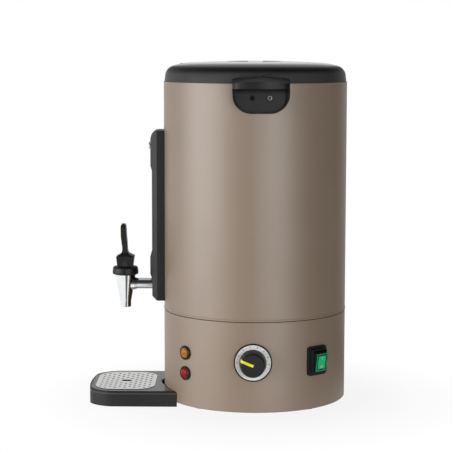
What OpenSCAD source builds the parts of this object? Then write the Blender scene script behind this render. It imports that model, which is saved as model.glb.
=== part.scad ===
// Hot water urn: a heated steel tank inside a painted shell, on a base that holds the controls.
// A lever tap and a water gauge stand at the front, two scoop handles at the sides.
// The lid lifts off, and the drip tray slides out from the foot of the base.
// The origin lies on the tank's axis at table level. The tap points along -Y.

/* [Shells] */
// Outer radius of the base shell and the upper shell
body_r = 121; // [118:0.5:128]
// Wall of the painted shells
shell_t = 1.2; // [0.8:0.1:1.6]
// Height of the base shell's lower edge above the table
base_z = 5.2; // [4.6:0.1:7]
// Height of the base shell's upper edge
seam_z = 121.7; // [119:0.1:126]
// Open seam between the two shells
seam_gap = 1; // [0.6:0.1:1.6]
// Height of the upper shell's top
body_top_z = 424.5; // [400:0.5:450]
// Width of the lip that turns inwards at the upper shell's top
top_lip = 8; // [6:0.5:9]
// Bulge of the rolled bead on the upper shell's lower edge
bead_out = 0.5; // [0.2:0.1:1]
// Height of that bead
bead_h = 3; // [2:0.1:5]

/* [Base] */
// Radius of a rubber foot
foot_r = 10; // [8:0.5:12]
// Distance from the shells' outer face in to the middle of a foot
foot_inset = 26; // [24:1:36]
// Thickness of the base plate
base_plate_t = 1.2; // [1:0.1:2]
// Depth of the joint ring's skirt inside each shell
joint_skirt = 9; // [7:0.5:12]
// Thickness of the annular deck that carries the tank
deck_t = 1.2; // [1:0.1:2]
// How far the deck reaches inwards from the tank's stand ring
deck_rim = 6; // [3:0.5:10]

/* [Tank] */
// Space from the shells' outer face in to the tank's inner face
tank_space = 16; // [16:0.5:19]
// Wall of the tank
tank_t = 1; // [0.8:0.1:1.2]
// Height of the stand ring between the deck and the tank's floor
stand_h = 16.1; // [14:0.1:19]
// Distance from the tank's outer face in to the stand ring
stand_inset = 16; // [12:0.5:17]
// Distance from the stand ring in to the edge of the heat spreading plate
heat_plate_inset = 10; // [9:0.5:20]
// Thickness of the heat spreading plate
heat_plate_t = 4; // [3:0.5:5]
// Distance from the heat plate's edge in to the middle of the element's tube
element_inset = 18; // [14:1:30]
// Radius of the element's tube
element_tube_r = 3.3; // [3:0.1:3.8]
// Thickness of the insulation jacket
jacket_t = 9; // [6:0.5:9.5]

/* [Lid] */
// How far the lid's edge stands inside the shells' outer radius
lid_inset = 1; // [0.6:0.1:1.8]
// Height of the lid's crown above the upper shell
lid_h = 26.8; // [24:0.2:32]
// Wall of the lid
lid_t = 2.5; // [2:0.1:3]
// Radius of the round grip recess
recess_r = 36; // [32:0.5:42]
// Depth of the grip recess below the crown
recess_depth = 17; // [14:0.5:17.5]
// Width of the grip bar across the recess
grip_w = 19.4; // [16:0.2:24]
// Depth of the liner's plug in the tank's mouth
plug_depth = 12; // [8:0.5:16]
// Thickness of the silicone seal under the lid
seal_t = 2; // [1.5:0.1:3]
// Distance from the tank's inner face in to the middle of the steam vent
vent_inset = 12; // [10:0.5:19]
// Radius of the vent's bore
vent_bore_r = 3.2; // [2.5:0.1:3.6]

/* [Handles] */
// Turn of the handles from the straight sideways direction
handle_turn = 3.3; // [0:0.1:6]
// Width of a handle
handle_w = 71.4; // [66:0.2:78]
// How far the ledge stands out from the shell
ledge_out = 28; // [24:0.5:34]
// How far the ledge's lower edge lies below the upper shell's top
ledge_drop = 6; // [4:0.1:9]
// How far the ridge along the shell rises above the upper shell's top
ridge_rise = 9.5; // [7:0.1:12]
// Height of the scoop below the ledge
scoop_h = 31.5; // [28:0.5:36]
// Wall of the handle
handle_t = 3; // [2.5:0.1:3.5]
// Radius of the rounded lower corners
handle_corner_r = 24; // [20:0.5:28]
// How far the two fixing screws lie below the ledge
handle_screw_drop = 11.9; // [10:0.1:14]
// Distance between the two fixing screws
handle_screw_pitch = 22; // [18:0.5:26]

/* [Gauge panel] */
// How far the panel reaches below the tap's shank
panel_drop = 20.4; // [19:0.1:24]
// Distance from the upper shell's top down to the panel's upper end
panel_top_drop = 64.6; // [40:0.1:90]
// Width of the panel
panel_w = 40; // [38:0.5:44]
// Depth of the panel's sides in front of the shell
panel_side = 9; // [8:0.1:11]
// Depth of the thin middle part in front of the shell
panel_thin = 15.7; // [15.2:0.1:16.5]
// Depth of the thick head in front of the shell
panel_head = 17.7; // [17.4:0.1:19]
// Depth of the boss above the tap in front of the shell
panel_boss = 18.4; // [18:0.1:19.5]
// Wall of the panel
panel_t = 2.5; // [2:0.1:3]
// Distance from the panel's upper end down to its screw
panel_screw_drop = 20.6; // [16:0.1:24]
// Radius of the gauge glass
glass_r = 5; // [4:0.1:5.5]
// Wall of the gauge glass
glass_t = 1.2; // [0.8:0.1:1.6]

/* [Tap] */
// Height of the tap's shank above the underside of the tank's floor
shank_up = 20.6; // [18:0.1:24]
// Radius of the shank
shank_r = 7.45; // [7:0.05:7.8]
// Radius of the shank's bore
shank_bore_r = 4.5; // [4:0.1:4.8]
// Distance of the tap's axis from the shell
tap_reach = 52.3; // [50:0.1:56]
// How far the spout's mouth lies below the shank
spout_drop = 31.3; // [29:0.1:33]
// Outer radius of the spout
spout_r = 7.4; // [7.2:0.05:7.8]
// Radius of the spout's bore
spout_bore_r = 5.2; // [4.6:0.1:5.4]
// Radius of the tap body's top
cone_r = 13.65; // [13:0.05:14]
// Height of the bonnet's lower edge above the shank
bonnet_up = 12.9; // [11.5:0.1:13.5]
// Height of the bonnet
bonnet_h = 10.2; // [9.6:0.1:11.5]
// Radius of the bonnet
bonnet_r = 17.4; // [16.5:0.1:18.5]
// Height of the lever's pin above the bonnet
lever_pin_up = 4.1; // [3.8:0.1:5]
// Radius of the lever's pin
lever_pin_r = 1.5; // [1.2:0.1:1.8]
// Half depth of the lever's rocking foot
lever_foot = 10.2; // [9.8:0.1:10.8]
// Height of the lever's tip above its pin
lever_h = 53.2; // [48:0.1:60]
// Radius of the valve stem
stem_r = 2; // [1.6:0.1:2.2]

/* [Controls] */
// Direction of the dial, from straight sideways
dial_angle = -0.8; // [-3:0.1:3]
// Height of the dial
dial_z = 70.7; // [66:0.1:76]
// Radius of the dial's rim
dial_r = 24.6; // [23.5:0.1:26]
// Width of the rim around the dial's scale ring
dial_rim_w = 1.7; // [1.2:0.1:2.5]
// Radius of the knob at its foot
knob_r = 17.35; // [16:0.05:18.5]
// Height of the knob's face in front of the shell
knob_out = 22; // [19:0.5:25]
// Direction of the indicator lamps
lamp_angle = -47.4; // [-50:0.1:-44]
// Height of the lower lamp
lamp_low_z = 48.6; // [46:0.1:50]
// Distance between the two lamps
lamp_pitch = 26.9; // [24:0.1:30]
// Radius of a lamp's bezel
lamp_r = 9.25; // [8.6:0.05:9.8]
// Direction of the rocker switch
switch_angle = 41.1; // [39:0.1:43]
// Height of the rocker switch
switch_z = 68.5; // [64:0.1:74]
// Height of the switch's frame
switch_frame_h = 38.2; // [37:0.1:40]
// Width of the switch's frame
switch_frame_w = 31; // [30:0.1:33]
// Height of the rocker
rocker_h = 24.4; // [23:0.1:25]
// Width of the rocker
rocker_w = 19.4; // [18:0.1:20]
// Distance of the rocker's face from the shell
rocker_out = 11; // [10:0.1:12]
// Tilt of the rocker to either side
rocker_tilt = 8; // [6:0.5:9]

/* [Rear] */
// Direction of the cord gland
gland_angle = 140; // [130:1:145]
// Height of the cord gland
gland_z = 30; // [28:0.5:36]
// Radius of the gland's bore for the cord
gland_bore_r = 4.1; // [3.5:0.1:4.5]
// Direction of the safety cut-out's reset button
limiter_angle = 165; // [160:1:175]
// Height of the reset button
limiter_z = 60; // [50:1:66]
// Radius of the reset button
reset_r = 3; // [2.5:0.1:3.4]

/* [Drip tray] */
// Width of the tray
tray_w = 133; // [128:0.5:140]
// How far the tray reaches in front of the shell
tray_out = 100; // [97:0.5:106]
// Height of the tray
tray_h = 20.2; // [19:0.1:22]
// Wall of the tray
tray_t = 2.5; // [2:0.1:3]
// Radius of the tray's front corners
tray_corner_r = 38; // [34:0.5:42]
// Rounding of the tray's upper edge
tray_edge_r = 3; // [2:0.2:4]
// Distance from the tray's side to the grille
grille_side = 12.5; // [10:0.5:20]
// Distance from the tray's front to the grille
grille_front = 9.2; // [8:0.1:14]
// Distance from the shells' outer face to the grille
grille_rear = 11.8; // [8:0.1:16]
// Thickness of the grille
grille_t = 1.2; // [0.8:0.1:1.5]
// Radius of the grille's corners
grille_corner_r = 26; // [22:0.5:30]
// Radius of a hole in the grille
grille_hole_r = 1.75; // [1.4:0.05:2]
// Distance between two columns of holes
grille_pitch = 6.5; // [6:0.1:7.5]

/* [Hidden] */

$fn = 96;
cut = 0.5;          // overshoot of a cutting tool
fit = 0.05;         // radial play of a running or seated fit
gap = 0.3;          // play between pieces that lie loosely together
press = 0.15;       // play between a fitted piece and the shell behind it
reach = 2;          // how deep a cutting tool starts behind a curved wall

// Colours
paint = [0.62, 0.56, 0.50];
black = [0.13, 0.13, 0.14];
steel = [0.72, 0.73, 0.75];
chrome = [0.82, 0.83, 0.85];
white = [0.90, 0.90, 0.88];
brass = [0.78, 0.64, 0.35];
copper = [0.75, 0.45, 0.30];

// Shells and base
shell_in = body_r - shell_t;
upper_z0 = seam_z + seam_gap;
plate_z = base_z + shell_t;
plate_top = plate_z + base_plate_t;
base_lip = 12;
base_chamfer = 1;
plate_r = shell_in - 4 * fit;
foot_pitch_r = body_r - foot_inset;
foot_angles = [45, 135, 225, 315];
foot_screw_r = 2;
foot_head_r = 3.8;
foot_head_h = 2.4;
foot_web = 2;
foot_nut_r = 4;
foot_nut_h = 3.2;
joint_r = plate_r;
joint_t = 2.2;
joint_ledge = 6;
seam_inset = 0.7;
top_edge = 0.4;
deck_z = seam_z - joint_skirt + 3;
bush_r = 5;
bush_end = body_r + 3.5;
deck_top = deck_z + deck_t;

// Tank and rim
tank_r = body_r - tank_space;
tank_out = tank_r + tank_t;
tank_floor_z = deck_top + stand_h;
stand_r = tank_out - stand_inset;
deck_hole_r = stand_r - deck_rim;
heat_plate_r = stand_r - heat_plate_inset;
element_r = heat_plate_r - element_inset;
lip_z = body_top_z - shell_t;
flange_z = lip_z - tank_t;
lip_r = body_r - top_lip;
rim_h = 8;
jacket_in = tank_out + 0.2;
jacket_r = jacket_in + jacket_t;
plate_low = tank_floor_z - heat_plate_t;

// Lid
lid_r = body_r - lid_inset;
lid_z = body_top_z + gap;
crown_z = body_top_z + lid_h;
seal_z = lip_z;
liner_z = seal_z + seal_t;
plug_r = tank_r - 1.5;
liner_t = 1.5;
liner_r = lid_r - lid_t - 2 * gap;
recess_z = crown_z - recess_depth;
vent_tube_r = vent_bore_r + 1.3;
vent_y = tank_r - vent_inset;

// Front
shank_z = tank_floor_z + shank_up;
panel_z0 = shank_z - panel_drop;
panel_z1 = body_top_z - panel_top_drop;
panel_screw_z = panel_z1 - panel_screw_drop;
panel_x = body_r + panel_side;
tap_x = body_r + tap_reach;
glass_x = body_r + panel_thin - panel_t - glass_r - 1.2;
tee_h = 26;
tee_z0 = shank_z - shank_r - 2;
tee_top = tee_z0 + tee_h;
head_z0 = panel_screw_z - 20;
tee_w = 18;
block_x = body_r + panel_thin - panel_t - 0.2;
head_seat = 12;
glass_z0 = tee_top - 7;
glass_z1 = head_z0 + head_seat;
seal_play = 0.5;
gland_seat_r = glass_r + 1;

// Tap
spout_z = shank_z - spout_drop;
bonnet_z = shank_z + bonnet_up;
chamber_r = 8.6;
seat_z = spout_z + 24.2;
bonnet_top = bonnet_z + bonnet_h;
lever_pin_z = bonnet_top + lever_pin_up;
lever_top_z = lever_pin_z + lever_h;
bonnet_bore_r = 12.6;
cup_r = 7.8;
cup_stalk_r = stem_r + 2.2;
bonnet_web = 1.5;
foot_play = 0.3;

// Handles
ledge_z = body_top_z - ledge_drop;
ridge_z = body_top_z + ridge_rise;
handle_low_z = ledge_z - scoop_h;
handle_screw_z = ledge_z - handle_screw_drop;
handle_root = body_r - 12;
handle_front = body_r + ledge_out;
ledge_arc_r = 75;
ledge_corner_r = 12;
handle_plate_t = 4;
crown_r = 130;
crown_tilt = 12.5;
handle_screw_r = 2.4;
screw_head_r = 2.9;
screw_head_h = 1.8;
screw_sink = 2.2;
screw_key_r = 1.4;
screw_key_depth = 1.2;
nut_t = 2.4;
screw_end = shell_in - nut_t - 1.4;
roof_hollow = 3.5;
scoop_toe = 0.6;
scoop_toe_h = 9;
scoop_inset = 14;

// Tray
tray_front = body_r + tray_out;
tray_bow_r = 275;
tray_rear_r = body_r + gap;
grille_w = tray_w - 2 * grille_side;
grille_l = tray_out - grille_front - grille_rear;
grille_y = body_r + grille_rear + grille_l / 2;
tray_ledge = 4;
grille_z = tray_h - grille_t + 0.5;

// ---------------------------------------------------------------- shared shapes

module tube(r_out, r_in, z0, z1) {
    translate([0, 0, z0]) difference() {
        cylinder(r = r_out, h = z1 - z0);
        translate([0, 0, -cut]) cylinder(r = r_in, h = z1 - z0 + 2 * cut);
    }
}

// A round bar along X
module rod_x(r, x0, x1) {
    translate([x0, 0, 0]) rotate([0, 90, 0]) cylinder(r = r, h = x1 - x0);
}

// A round bar along Y, centred
module rod_y(r, length) {
    rotate([90, 0, 0]) cylinder(r = r, h = length, center = true);
}

// A hexagonal bar along X
module hex_x(r, x0, x1) {
    translate([x0, 0, 0]) rotate([0, 90, 0]) cylinder(r = r, h = x1 - x0, $fn = 6);
}

// A flat outline in X and Z, extruded along Y about the middle
module slab_xz(points, width) {
    rotate([90, 0, 0]) linear_extrude(height = width, center = true) polygon(points);
}

// A block that spans x0 to x1, centred on Y and Z
module block_x_span(x0, x1, width, height) {
    translate([x0, -width / 2, -height / 2]) cube([x1 - x0, width, height]);
}

// Places a piece whose +X points out of the shell at an angle and a height
module at_side(angle, z) {
    rotate([0, 0, angle]) translate([0, 0, z]) children();
}

// Places a piece whose +X points forward, over the tap
module at_front(z = 0) {
    at_side(-90, z) children();
}

// Everything inside the shell's outer face, as a cutting tool
module shell_core(play = 0) {
    translate([0, 0, -cut]) cylinder(r = body_r + play, h = body_top_z + lid_h, $fn = 360);
}

// A domed disc on +X: the rim stands at x0, the crown at x0 + height
module dome_x(r, height, x0, steps = 8) {
    ball_r = (r * r + height * height) / (2 * height);
    half = asin(r / ball_r);
    translate([x0, 0, 0]) rotate([0, 90, 0]) rotate_extrude() polygon(concat([[0, 0]],
        [for (i = [steps : -1 : 0])
            [ball_r * sin(half * i / steps), ball_r * cos(half * i / steps) - ball_r + height]]
    ));
}

wire_sides = 6;
wire_steps = 4;

// Direction of a wire at one of its points, as long as the shorter stretch beside it
function lean(p, i) =
    let (
        before = max(i, 1), after = min(i, len(p) - 2),
        a = p[before] - p[before - 1], b = p[after + 1] - p[after],
        d = a / norm(a) + b / norm(b)
    )
    d / norm(d) * min(norm(a), norm(b));

// A point on the smooth curve between p[i] and p[i + 1], for t from 0 to 1
function curve_point(p, i, t) =
    let (blend = t * t * (3 - 2 * t))
    p[i] * (1 - blend) + p[i + 1] * blend
    + lean(p, i) * t * (1 - t) * (1 - t) - lean(p, i + 1) * t * t * (1 - t);

function curve(p) = concat(
    [for (i = [0 : len(p) - 2]) for (k = [0 : wire_steps - 1]) curve_point(p, i, k / wire_steps)],
    [p[len(p) - 1]]
);

// A sideways direction at each point, carried along the directions d without a twist
function sideways(d, i = 0, u = [1, 0.2, 0.1]) = i == len(d) ? [] :
    let (v = u - (u * d[i]) * d[i], w = v / norm(v)) concat([w], sideways(d, i + 1, w));

// A bent wire or thin tube through a list of points
module wire(points, r) {
    c = curve(points);
    last = len(c) - 1;
    n = wire_sides;
    along = [for (i = [0 : last]) let (d = c[min(i + 1, last)] - c[max(i - 1, 0)]) d / norm(d)];
    side = sideways(along);
    ring_points = [for (i = [0 : last]) for (k = [0 : n - 1])
        c[i] + r * (cos(360 * k / n) * side[i] + sin(360 * k / n) * cross(along[i], side[i]))];
    walls = [for (i = [0 : last - 1]) for (k = [0 : n - 1])
        let (a = i * n + k, b = i * n + (k + 1) % n) each [[a, a + n, b + n], [a, b + n, b]]];
    ends = [[for (k = [0 : n - 1]) k], [for (k = [n - 1 : -1 : 0]) last * n + k]];
    polyhedron(ring_points, concat(walls, ends));
}

// A point at a radius, an angle and a height
function polar(r, a, z) = [r * cos(a), r * sin(a), z];

// ---------------------------------------------------------------- base

// A round hole through a painted shell
module shell_hole(r) {
    rod_x(r, shell_in - reach, body_r + cut);
}

module base_shell() {
    color(paint) difference() {
        rotate_extrude() polygon([
            [body_r - base_lip, base_z], [body_r - base_chamfer, base_z],
            [body_r, base_z + base_chamfer], [body_r, seam_z], [shell_in, seam_z],
            [shell_in, plate_z], [body_r - base_lip, plate_z]
        ]);
        at_side(dial_angle, dial_z) shell_hole(bush_r + fit);
        for (i = [0, 1]) at_lamp(i) shell_hole(lamp_body_r + fit);
        at_side(switch_angle, switch_z)
            block_x_span(shell_in - reach, body_r + cut, switch_hole_w, switch_hole_h);
        at_side(gland_angle, gland_z) shell_hole(gland_thread_r + fit);
        at_side(limiter_angle, limiter_z) shell_hole(bush_r + fit);
    }
}

vent_slots = 7;
vent_slot_pitch = 11;
vent_slot_l = 26;
vent_slot_w = 4;

module base_plate() {
    color(steel) difference() {
        translate([0, 0, plate_z]) cylinder(r = plate_r, h = base_plate_t);
        for (a = foot_angles)
            translate(polar(foot_pitch_r, a, plate_z - cut))
                cylinder(r = foot_screw_r + fit, h = base_plate_t + 2 * cut);
        for (i = [0 : vent_slots - 1])
            translate([-vent_slot_l / 2, (i - (vent_slots - 1) / 2) * vent_slot_pitch - vent_slot_w / 2,
                       plate_z - cut])
                cube([vent_slot_l, vent_slot_w, base_plate_t + 2 * cut]);
    }
}

module feet() {
    color(black) for (a = foot_angles)
        translate(polar(foot_pitch_r, a, 0)) difference() {
            cylinder(r = foot_r, h = plate_z);
            translate([0, 0, -cut]) cylinder(r = foot_screw_r + fit, h = plate_z + 2 * cut);
            translate([0, 0, -cut]) cylinder(r = foot_head_r + gap, h = plate_z - foot_web + cut);
        }
}

module foot_screws() {
    web_z = plate_z - foot_web;
    color(steel) for (a = foot_angles)
        translate(polar(foot_pitch_r, a, web_z)) {
            translate([0, 0, -foot_head_h]) cylinder(r = foot_head_r, h = foot_head_h);
            cylinder(r = foot_screw_r, h = plate_top + foot_nut_h + 1 - web_z);
        }
}

module foot_nuts() {
    color(steel) for (a = foot_angles)
        translate(polar(foot_pitch_r, a, plate_top)) difference() {
            cylinder(r = foot_nut_r, h = foot_nut_h, $fn = 6);
            translate([0, 0, -cut]) cylinder(r = foot_screw_r + fit, h = foot_nut_h + 2 * cut);
        }
}

module joint_ring() {
    skirt_low = seam_z - joint_skirt;
    skirt_high = upper_z0 + joint_skirt;
    skirt_in = joint_r - joint_t;
    color(black) rotate_extrude() polygon([
        [skirt_in - joint_ledge, skirt_low], [joint_r, skirt_low], [joint_r, seam_z],
        [body_r - seam_inset, seam_z], [body_r - seam_inset, upper_z0], [joint_r, upper_z0],
        [joint_r, skirt_high], [skirt_in, skirt_high], [skirt_in, deck_z],
        [skirt_in - joint_ledge, deck_z]
    ]);
}

module deck_plate() {
    color(steel) tube(joint_r - joint_t - 2 * fit, deck_hole_r, deck_z, deck_top);
}

// ---------------------------------------------------------------- upper body

module upper_shell() {
    bead_r = body_r + bead_out;
    color(paint) difference() {
        rotate_extrude() polygon([
            [shell_in, upper_z0], [body_r + bead_out * 0.4, upper_z0],
            [bead_r, upper_z0 + bead_h * 0.2], [bead_r, upper_z0 + bead_h * 0.6],
            [body_r, upper_z0 + bead_h], [body_r, body_top_z - top_edge],
            [body_r - top_edge, body_top_z], [lip_r, body_top_z], [lip_r, lip_z], [shell_in, lip_z]
        ]);
        at_front(shank_z) shell_hole(shank_r + 2 * fit);
        at_front(panel_screw_z) shell_hole(panel_screw_r + fit);
        each_handle_screw() shell_hole(handle_screw_r + fit);
    }
}

module rim_ring() {
    color(black) tube(joint_r, jacket_in, flange_z - rim_h, flange_z);
}

module inner_tank() {
    floor_top = tank_floor_z + tank_t;
    flange_r = joint_r - 2;
    color(steel) difference() {
        rotate_extrude() polygon([
            [0, tank_floor_z], [tank_out, tank_floor_z], [tank_out, flange_z],
            [flange_r, flange_z], [flange_r, lip_z], [tank_r, lip_z],
            [tank_r, floor_top], [0, floor_top]
        ]);
        at_front(shank_z) rod_x(shank_r + fit, tank_r - reach, tank_out + cut);
    }
}

stand_w = 8;
stand_t = 1.2;

module tank_stand() {
    color(steel) rotate_extrude() polygon([
        [stand_r, deck_top], [stand_r + stand_w, deck_top], [stand_r + stand_w, deck_top + stand_t],
        [stand_r + stand_t, deck_top + stand_t], [stand_r + stand_t, tank_floor_z],
        [stand_r, tank_floor_z]
    ]);
}

module insulation_jacket() {
    color(white) difference() {
        tube(jacket_r, jacket_in, tank_floor_z, flange_z - rim_h - 1);
        at_front(shank_z) rod_x(washer_r + 2 * gap, jacket_in - reach, body_r);
        at_front(panel_screw_z) jacket_pocket(panel_screw_r);
        each_handle_screw() jacket_pocket(handle_screw_r);
    }
}

// Room in the jacket for the end of a screw and its nut
module jacket_pocket(screw_r) {
    rod_x(nut_r(screw_r) + gap, screw_end - gap, body_r);
}

// ---------------------------------------------------------------- heating

element_turn = 320;
element_start = 110;
element_z = plate_low - element_tube_r - fit;
element_pin_r = 2.2;
element_pin_h = 14;
element_pins = [element_start + 4, element_start + element_turn - 4];

module heat_plate() {
    color(steel) translate([0, 0, plate_low]) cylinder(r = heat_plate_r, h = heat_plate_t);
}

module heating_element() {
    color(copper) {
        translate([0, 0, element_z]) rotate([0, 0, element_start])
            rotate_extrude(angle = element_turn) translate([element_r, 0]) circle(element_tube_r);
        for (a = element_pins)
            translate(polar(element_r, a, element_z - element_pin_h))
                cylinder(r = element_pin_r, h = element_pin_h);
    }
}

bush_nut_r = bush_r + 3;
bush_nut_t = 2.4;
thermostat_x1 = shell_in - 4;
thermostat_x0 = thermostat_x1 - 26;
thermostat_w = 34;
thermostat_h = 40;
shaft_depth = 9;
thermostat_clamp_y = 9;
thermostat_clamp_z = 12;
shaft_r = 3;

module bush_nut(x0) {
    difference() {
        hex_x(bush_nut_r, x0, x0 + bush_nut_t);
        rod_x(bush_r + fit, x0 - cut, x0 + bush_nut_t + cut);
    }
}

// A control behind the shell: a housing, and a bush that passes through the shell
module control_body(x0, x1, width, height, bore_r, bore_depth) {
    difference() {
        union() {
            block_x_span(x0, x1, width, height);
            rod_x(bush_r, x1, bush_end);
        }
        rod_x(bore_r, x1 - bore_depth, bush_end + cut);
    }
}

module thermostat_body() {
    color(white) at_side(dial_angle, dial_z)
        control_body(thermostat_x0, thermostat_x1, thermostat_w, thermostat_h,
                     shaft_r + fit, shaft_depth + 1);
}

module bush_nuts() {
    color(brass) {
        at_side(dial_angle, dial_z) bush_nut(shell_in - bush_nut_t - 2 * gap);
        at_side(limiter_angle, limiter_z) bush_nut(body_r + press);
    }
}

module thermostat_shaft() {
    color(brass) at_side(dial_angle, dial_z)
        rod_x(shaft_r, thermostat_x1 - shaft_depth, knob_face - knob_web);
}

bulb_r = 3;
bulb_l = 40;
bulb_pitch_r = heat_plate_r + bulb_r + gap;
capillary_r = 0.9;

module bulb(angle) {
    translate(polar(bulb_pitch_r, angle, tank_floor_z - bulb_r - fit))
        rotate([0, 90, angle + 90]) cylinder(r = bulb_r, h = bulb_l, center = true);
}

limiter_x1 = shell_in - 4;
limiter_x0 = limiter_x1 - 24;
limiter_w = 26;
limiter_h = 32;
reset_depth = 4;
reset_travel = 1.5;

module limiter_body() {
    color(white) at_side(limiter_angle, limiter_z)
        control_body(limiter_x0, limiter_x1, limiter_w, limiter_h,
                     reset_r + fit, reset_depth + reset_travel + cut);
}

module reset_button() {
    color("red") at_side(limiter_angle, limiter_z)
        rod_x(reset_r, limiter_x1 - reset_depth, bush_end + reset_travel);
}

capillary_dip = 14;
capillary_reach = 8;

// The thin tube from the top of a control to its bulb under the tank
module capillary(start, angle) {
    level = tank_floor_z - bulb_r - fit;
    end = polar(bulb_pitch_r, angle, level);
    tangent = [sin(angle), -cos(angle), 0];
    bulb(angle);
    wire([start, [start[0], start[1], deck_z - capillary_dip],
          polar(deck_hole_r - capillary_reach, angle - 24, deck_z - 6),
          end + tangent * (bulb_l / 2 + wire_lead), end + tangent * (bulb_l / 2 + gap)], capillary_r);
}

module capillaries() {
    color(copper) {
        capillary(polar(thermostat_x0 + 8, dial_angle, dial_z + thermostat_h / 2 + gap), 22);
        capillary(polar(limiter_x0 + 8, limiter_angle, limiter_z + limiter_h / 2 + gap), 180);
    }
}

// ---------------------------------------------------------------- mains side

block_l = 44;
block_w = 20;
block_in = 59;
block_r = body_r - block_in;
block_turn = gland_angle - 90;

// A point in the terminal block's own directions: across, outwards and up
function block_point(across, out, z) = [
    across * cos(block_turn) - out * sin(block_turn),
    across * sin(block_turn) + out * cos(block_turn), z
];

block_h = 17;
block_clamps = 4;
block_clamp_r = 2.6;
block_clamp_pitch = 10;
block_clamp_depth = 8;

module terminal_block() {
    color(white) rotate([0, 0, block_turn]) translate([0, block_r, plate_top]) difference() {
        translate([-block_l / 2, -block_w / 2, 0]) cube([block_l, block_w, block_h]);
        for (i = [0 : block_clamps - 1])
            translate([(i - (block_clamps - 1) / 2) * block_clamp_pitch, 0,
                       block_h - block_clamp_depth])
                cylinder(r = block_clamp_r, h = block_clamp_depth + cut);
    }
}

wire_r = 1.3;
wire_lead = 6;      // straight end of a wire
wire_x = 15;        // from the terminal block's middle to its outer clamps
gland_x0 = shell_in - 10;

// A point behind the thermostat, out from its back by lead, at one of its four clamps
function thermostat_point(lead, side, level) =
    let (x = thermostat_x0 - gap - lead, y = side * thermostat_clamp_y)
    [x * cos(dial_angle) - y * sin(dial_angle), x * sin(dial_angle) + y * cos(dial_angle),
     dial_z + level * thermostat_clamp_z];

module wiring() {
    low = plate_top + 6;
    inner = block_r - block_w / 2 - gap;
    outer = block_r + block_w / 2 + gap;
    switch_back = switch_x0 - switch_tab - gap;
    gland_wire_x = (gland_bore_r + gland_thread_r) / 2;
    color([0.2, 0.35, 0.75]) {
        for (side = [-1, 1])
            wire([block_point(side * wire_x, outer, low),
                 block_point(side * wire_x, outer + wire_lead, low),
                 block_point(side * gland_wire_x, gland_x0 - wire_lead, gland_z),
                 block_point(side * gland_wire_x, gland_x0 - gap, gland_z)], wire_r);
        wire([block_point(wire_x, inner, low), block_point(wire_x, inner - wire_lead, low),
              polar(switch_back - wire_lead, switch_angle, switch_z - switch_tab_z),
              polar(switch_back, switch_angle, switch_z - switch_tab_z)], wire_r);
        wire([polar(switch_back, switch_angle, switch_z + switch_tab_z),
              polar(switch_back - wire_lead, switch_angle, switch_z + switch_tab_z),
              thermostat_point(wire_lead, 1, 1), thermostat_point(0, 1, 1)], wire_r);
        wire([thermostat_point(0, -1, 1), thermostat_point(wire_lead, -1, 1),
             polar(element_r, element_pins[1], element_z - element_pin_h - wire_lead),
             polar(element_r, element_pins[1], element_z - element_pin_h - gap)], wire_r);
        wire([thermostat_point(0, -1, -1), thermostat_point(wire_lead, -1, -1),
             polar(lamp_x0 - lamp_tab - wire_lead, lamp_angle, lamp_low_z),
             polar(lamp_x0 - lamp_tab - gap, lamp_angle, lamp_low_z)], wire_r);
        wire([block_point(-wire_x, inner, low), block_point(-wire_x, inner - wire_lead, low),
             polar(block_r - 11, limiter_angle + 26, low + 14),
             polar(limiter_x0 - wire_lead, limiter_angle, limiter_z),
             polar(limiter_x0 - gap, limiter_angle, limiter_z)], wire_r);
    }
}

gland_thread_r = 8;
gland_hex_r = gland_thread_r + 3.5;
gland_flange = 5;
gland_thread_end = body_r + 8;
gland_cap_x0 = body_r + press + gland_flange + gap;
gland_cap_hex = 8.5;
gland_out = 22;

module cord_gland() {
    color(black) at_side(gland_angle, gland_z) difference() {
        union() {
            rod_x(gland_thread_r, gland_x0, gland_thread_end);
            hex_x(gland_hex_r, body_r + press, body_r + press + gland_flange);
        }
        rod_x(gland_bore_r, gland_x0 - cut, gland_thread_end + cut);
    }
}

module gland_nuts() {
    lock_x1 = sqrt(pow(shell_in, 2) - pow(gland_hex_r, 2)) - fit;
    cap_x1 = gland_cap_x0 + gland_cap_hex;
    end = body_r + gland_out;
    color(black) at_side(gland_angle, gland_z) {
        difference() {
            hex_x(gland_hex_r, lock_x1 - gland_flange, lock_x1);
            rod_x(gland_thread_r + fit, lock_x1 - gland_flange - cut, lock_x1 + cut);
        }
        difference() {
            union() {
                hex_x(gland_hex_r, gland_cap_x0, cap_x1);
                rod_x(gland_thread_r + 1, cap_x1, end - 2);
                rod_x(gland_thread_r - 1, end - 2, end);
            }
            rod_x(gland_thread_r + fit, gland_cap_x0 - cut, gland_thread_end + 4 * fit);
            rod_x(gland_bore_r, gland_cap_x0, end + cut);
        }
    }
}

// ---------------------------------------------------------------- dial

dial_front = body_r + 2.2;
scale_r = dial_r - dial_rim_w;
scale_t = 0.6;
scale_hole_r = 12;
scale_marks = 8;
scale_from = 180;
scale_to = -5;

scale_sink = 0.2;
mark_w = 1;
mark_l = 2;
mark_depth = 0.2;
mark_r = scale_r - 3.6;

module dial_rim() {
    seat_x = dial_front - scale_sink - scale_t;
    color(black) difference() {
        at_side(dial_angle, dial_z) difference() {
            rod_x(dial_r, shell_in - reach, dial_front);
            rod_x(scale_r + fit, seat_x, dial_front + cut);
            rod_x(bush_r + fit, shell_in - 2 * reach, dial_front + cut);
        }
        shell_core(press);
    }
}

module scale_ring() {
    face = dial_front - scale_sink;
    color(chrome) at_side(dial_angle, dial_z) difference() {
        rod_x(scale_r, face - scale_t, face);
        rod_x(scale_hole_r, face - scale_t - cut, face + cut);
        for (i = [0 : scale_marks - 1])
            rotate([scale_from + (scale_to - scale_from) * i / (scale_marks - 1), 0, 0])
                translate([face - mark_depth, mark_r, -mark_w / 2]) cube([mark_w, mark_l, mark_w]);
    }
}

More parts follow.
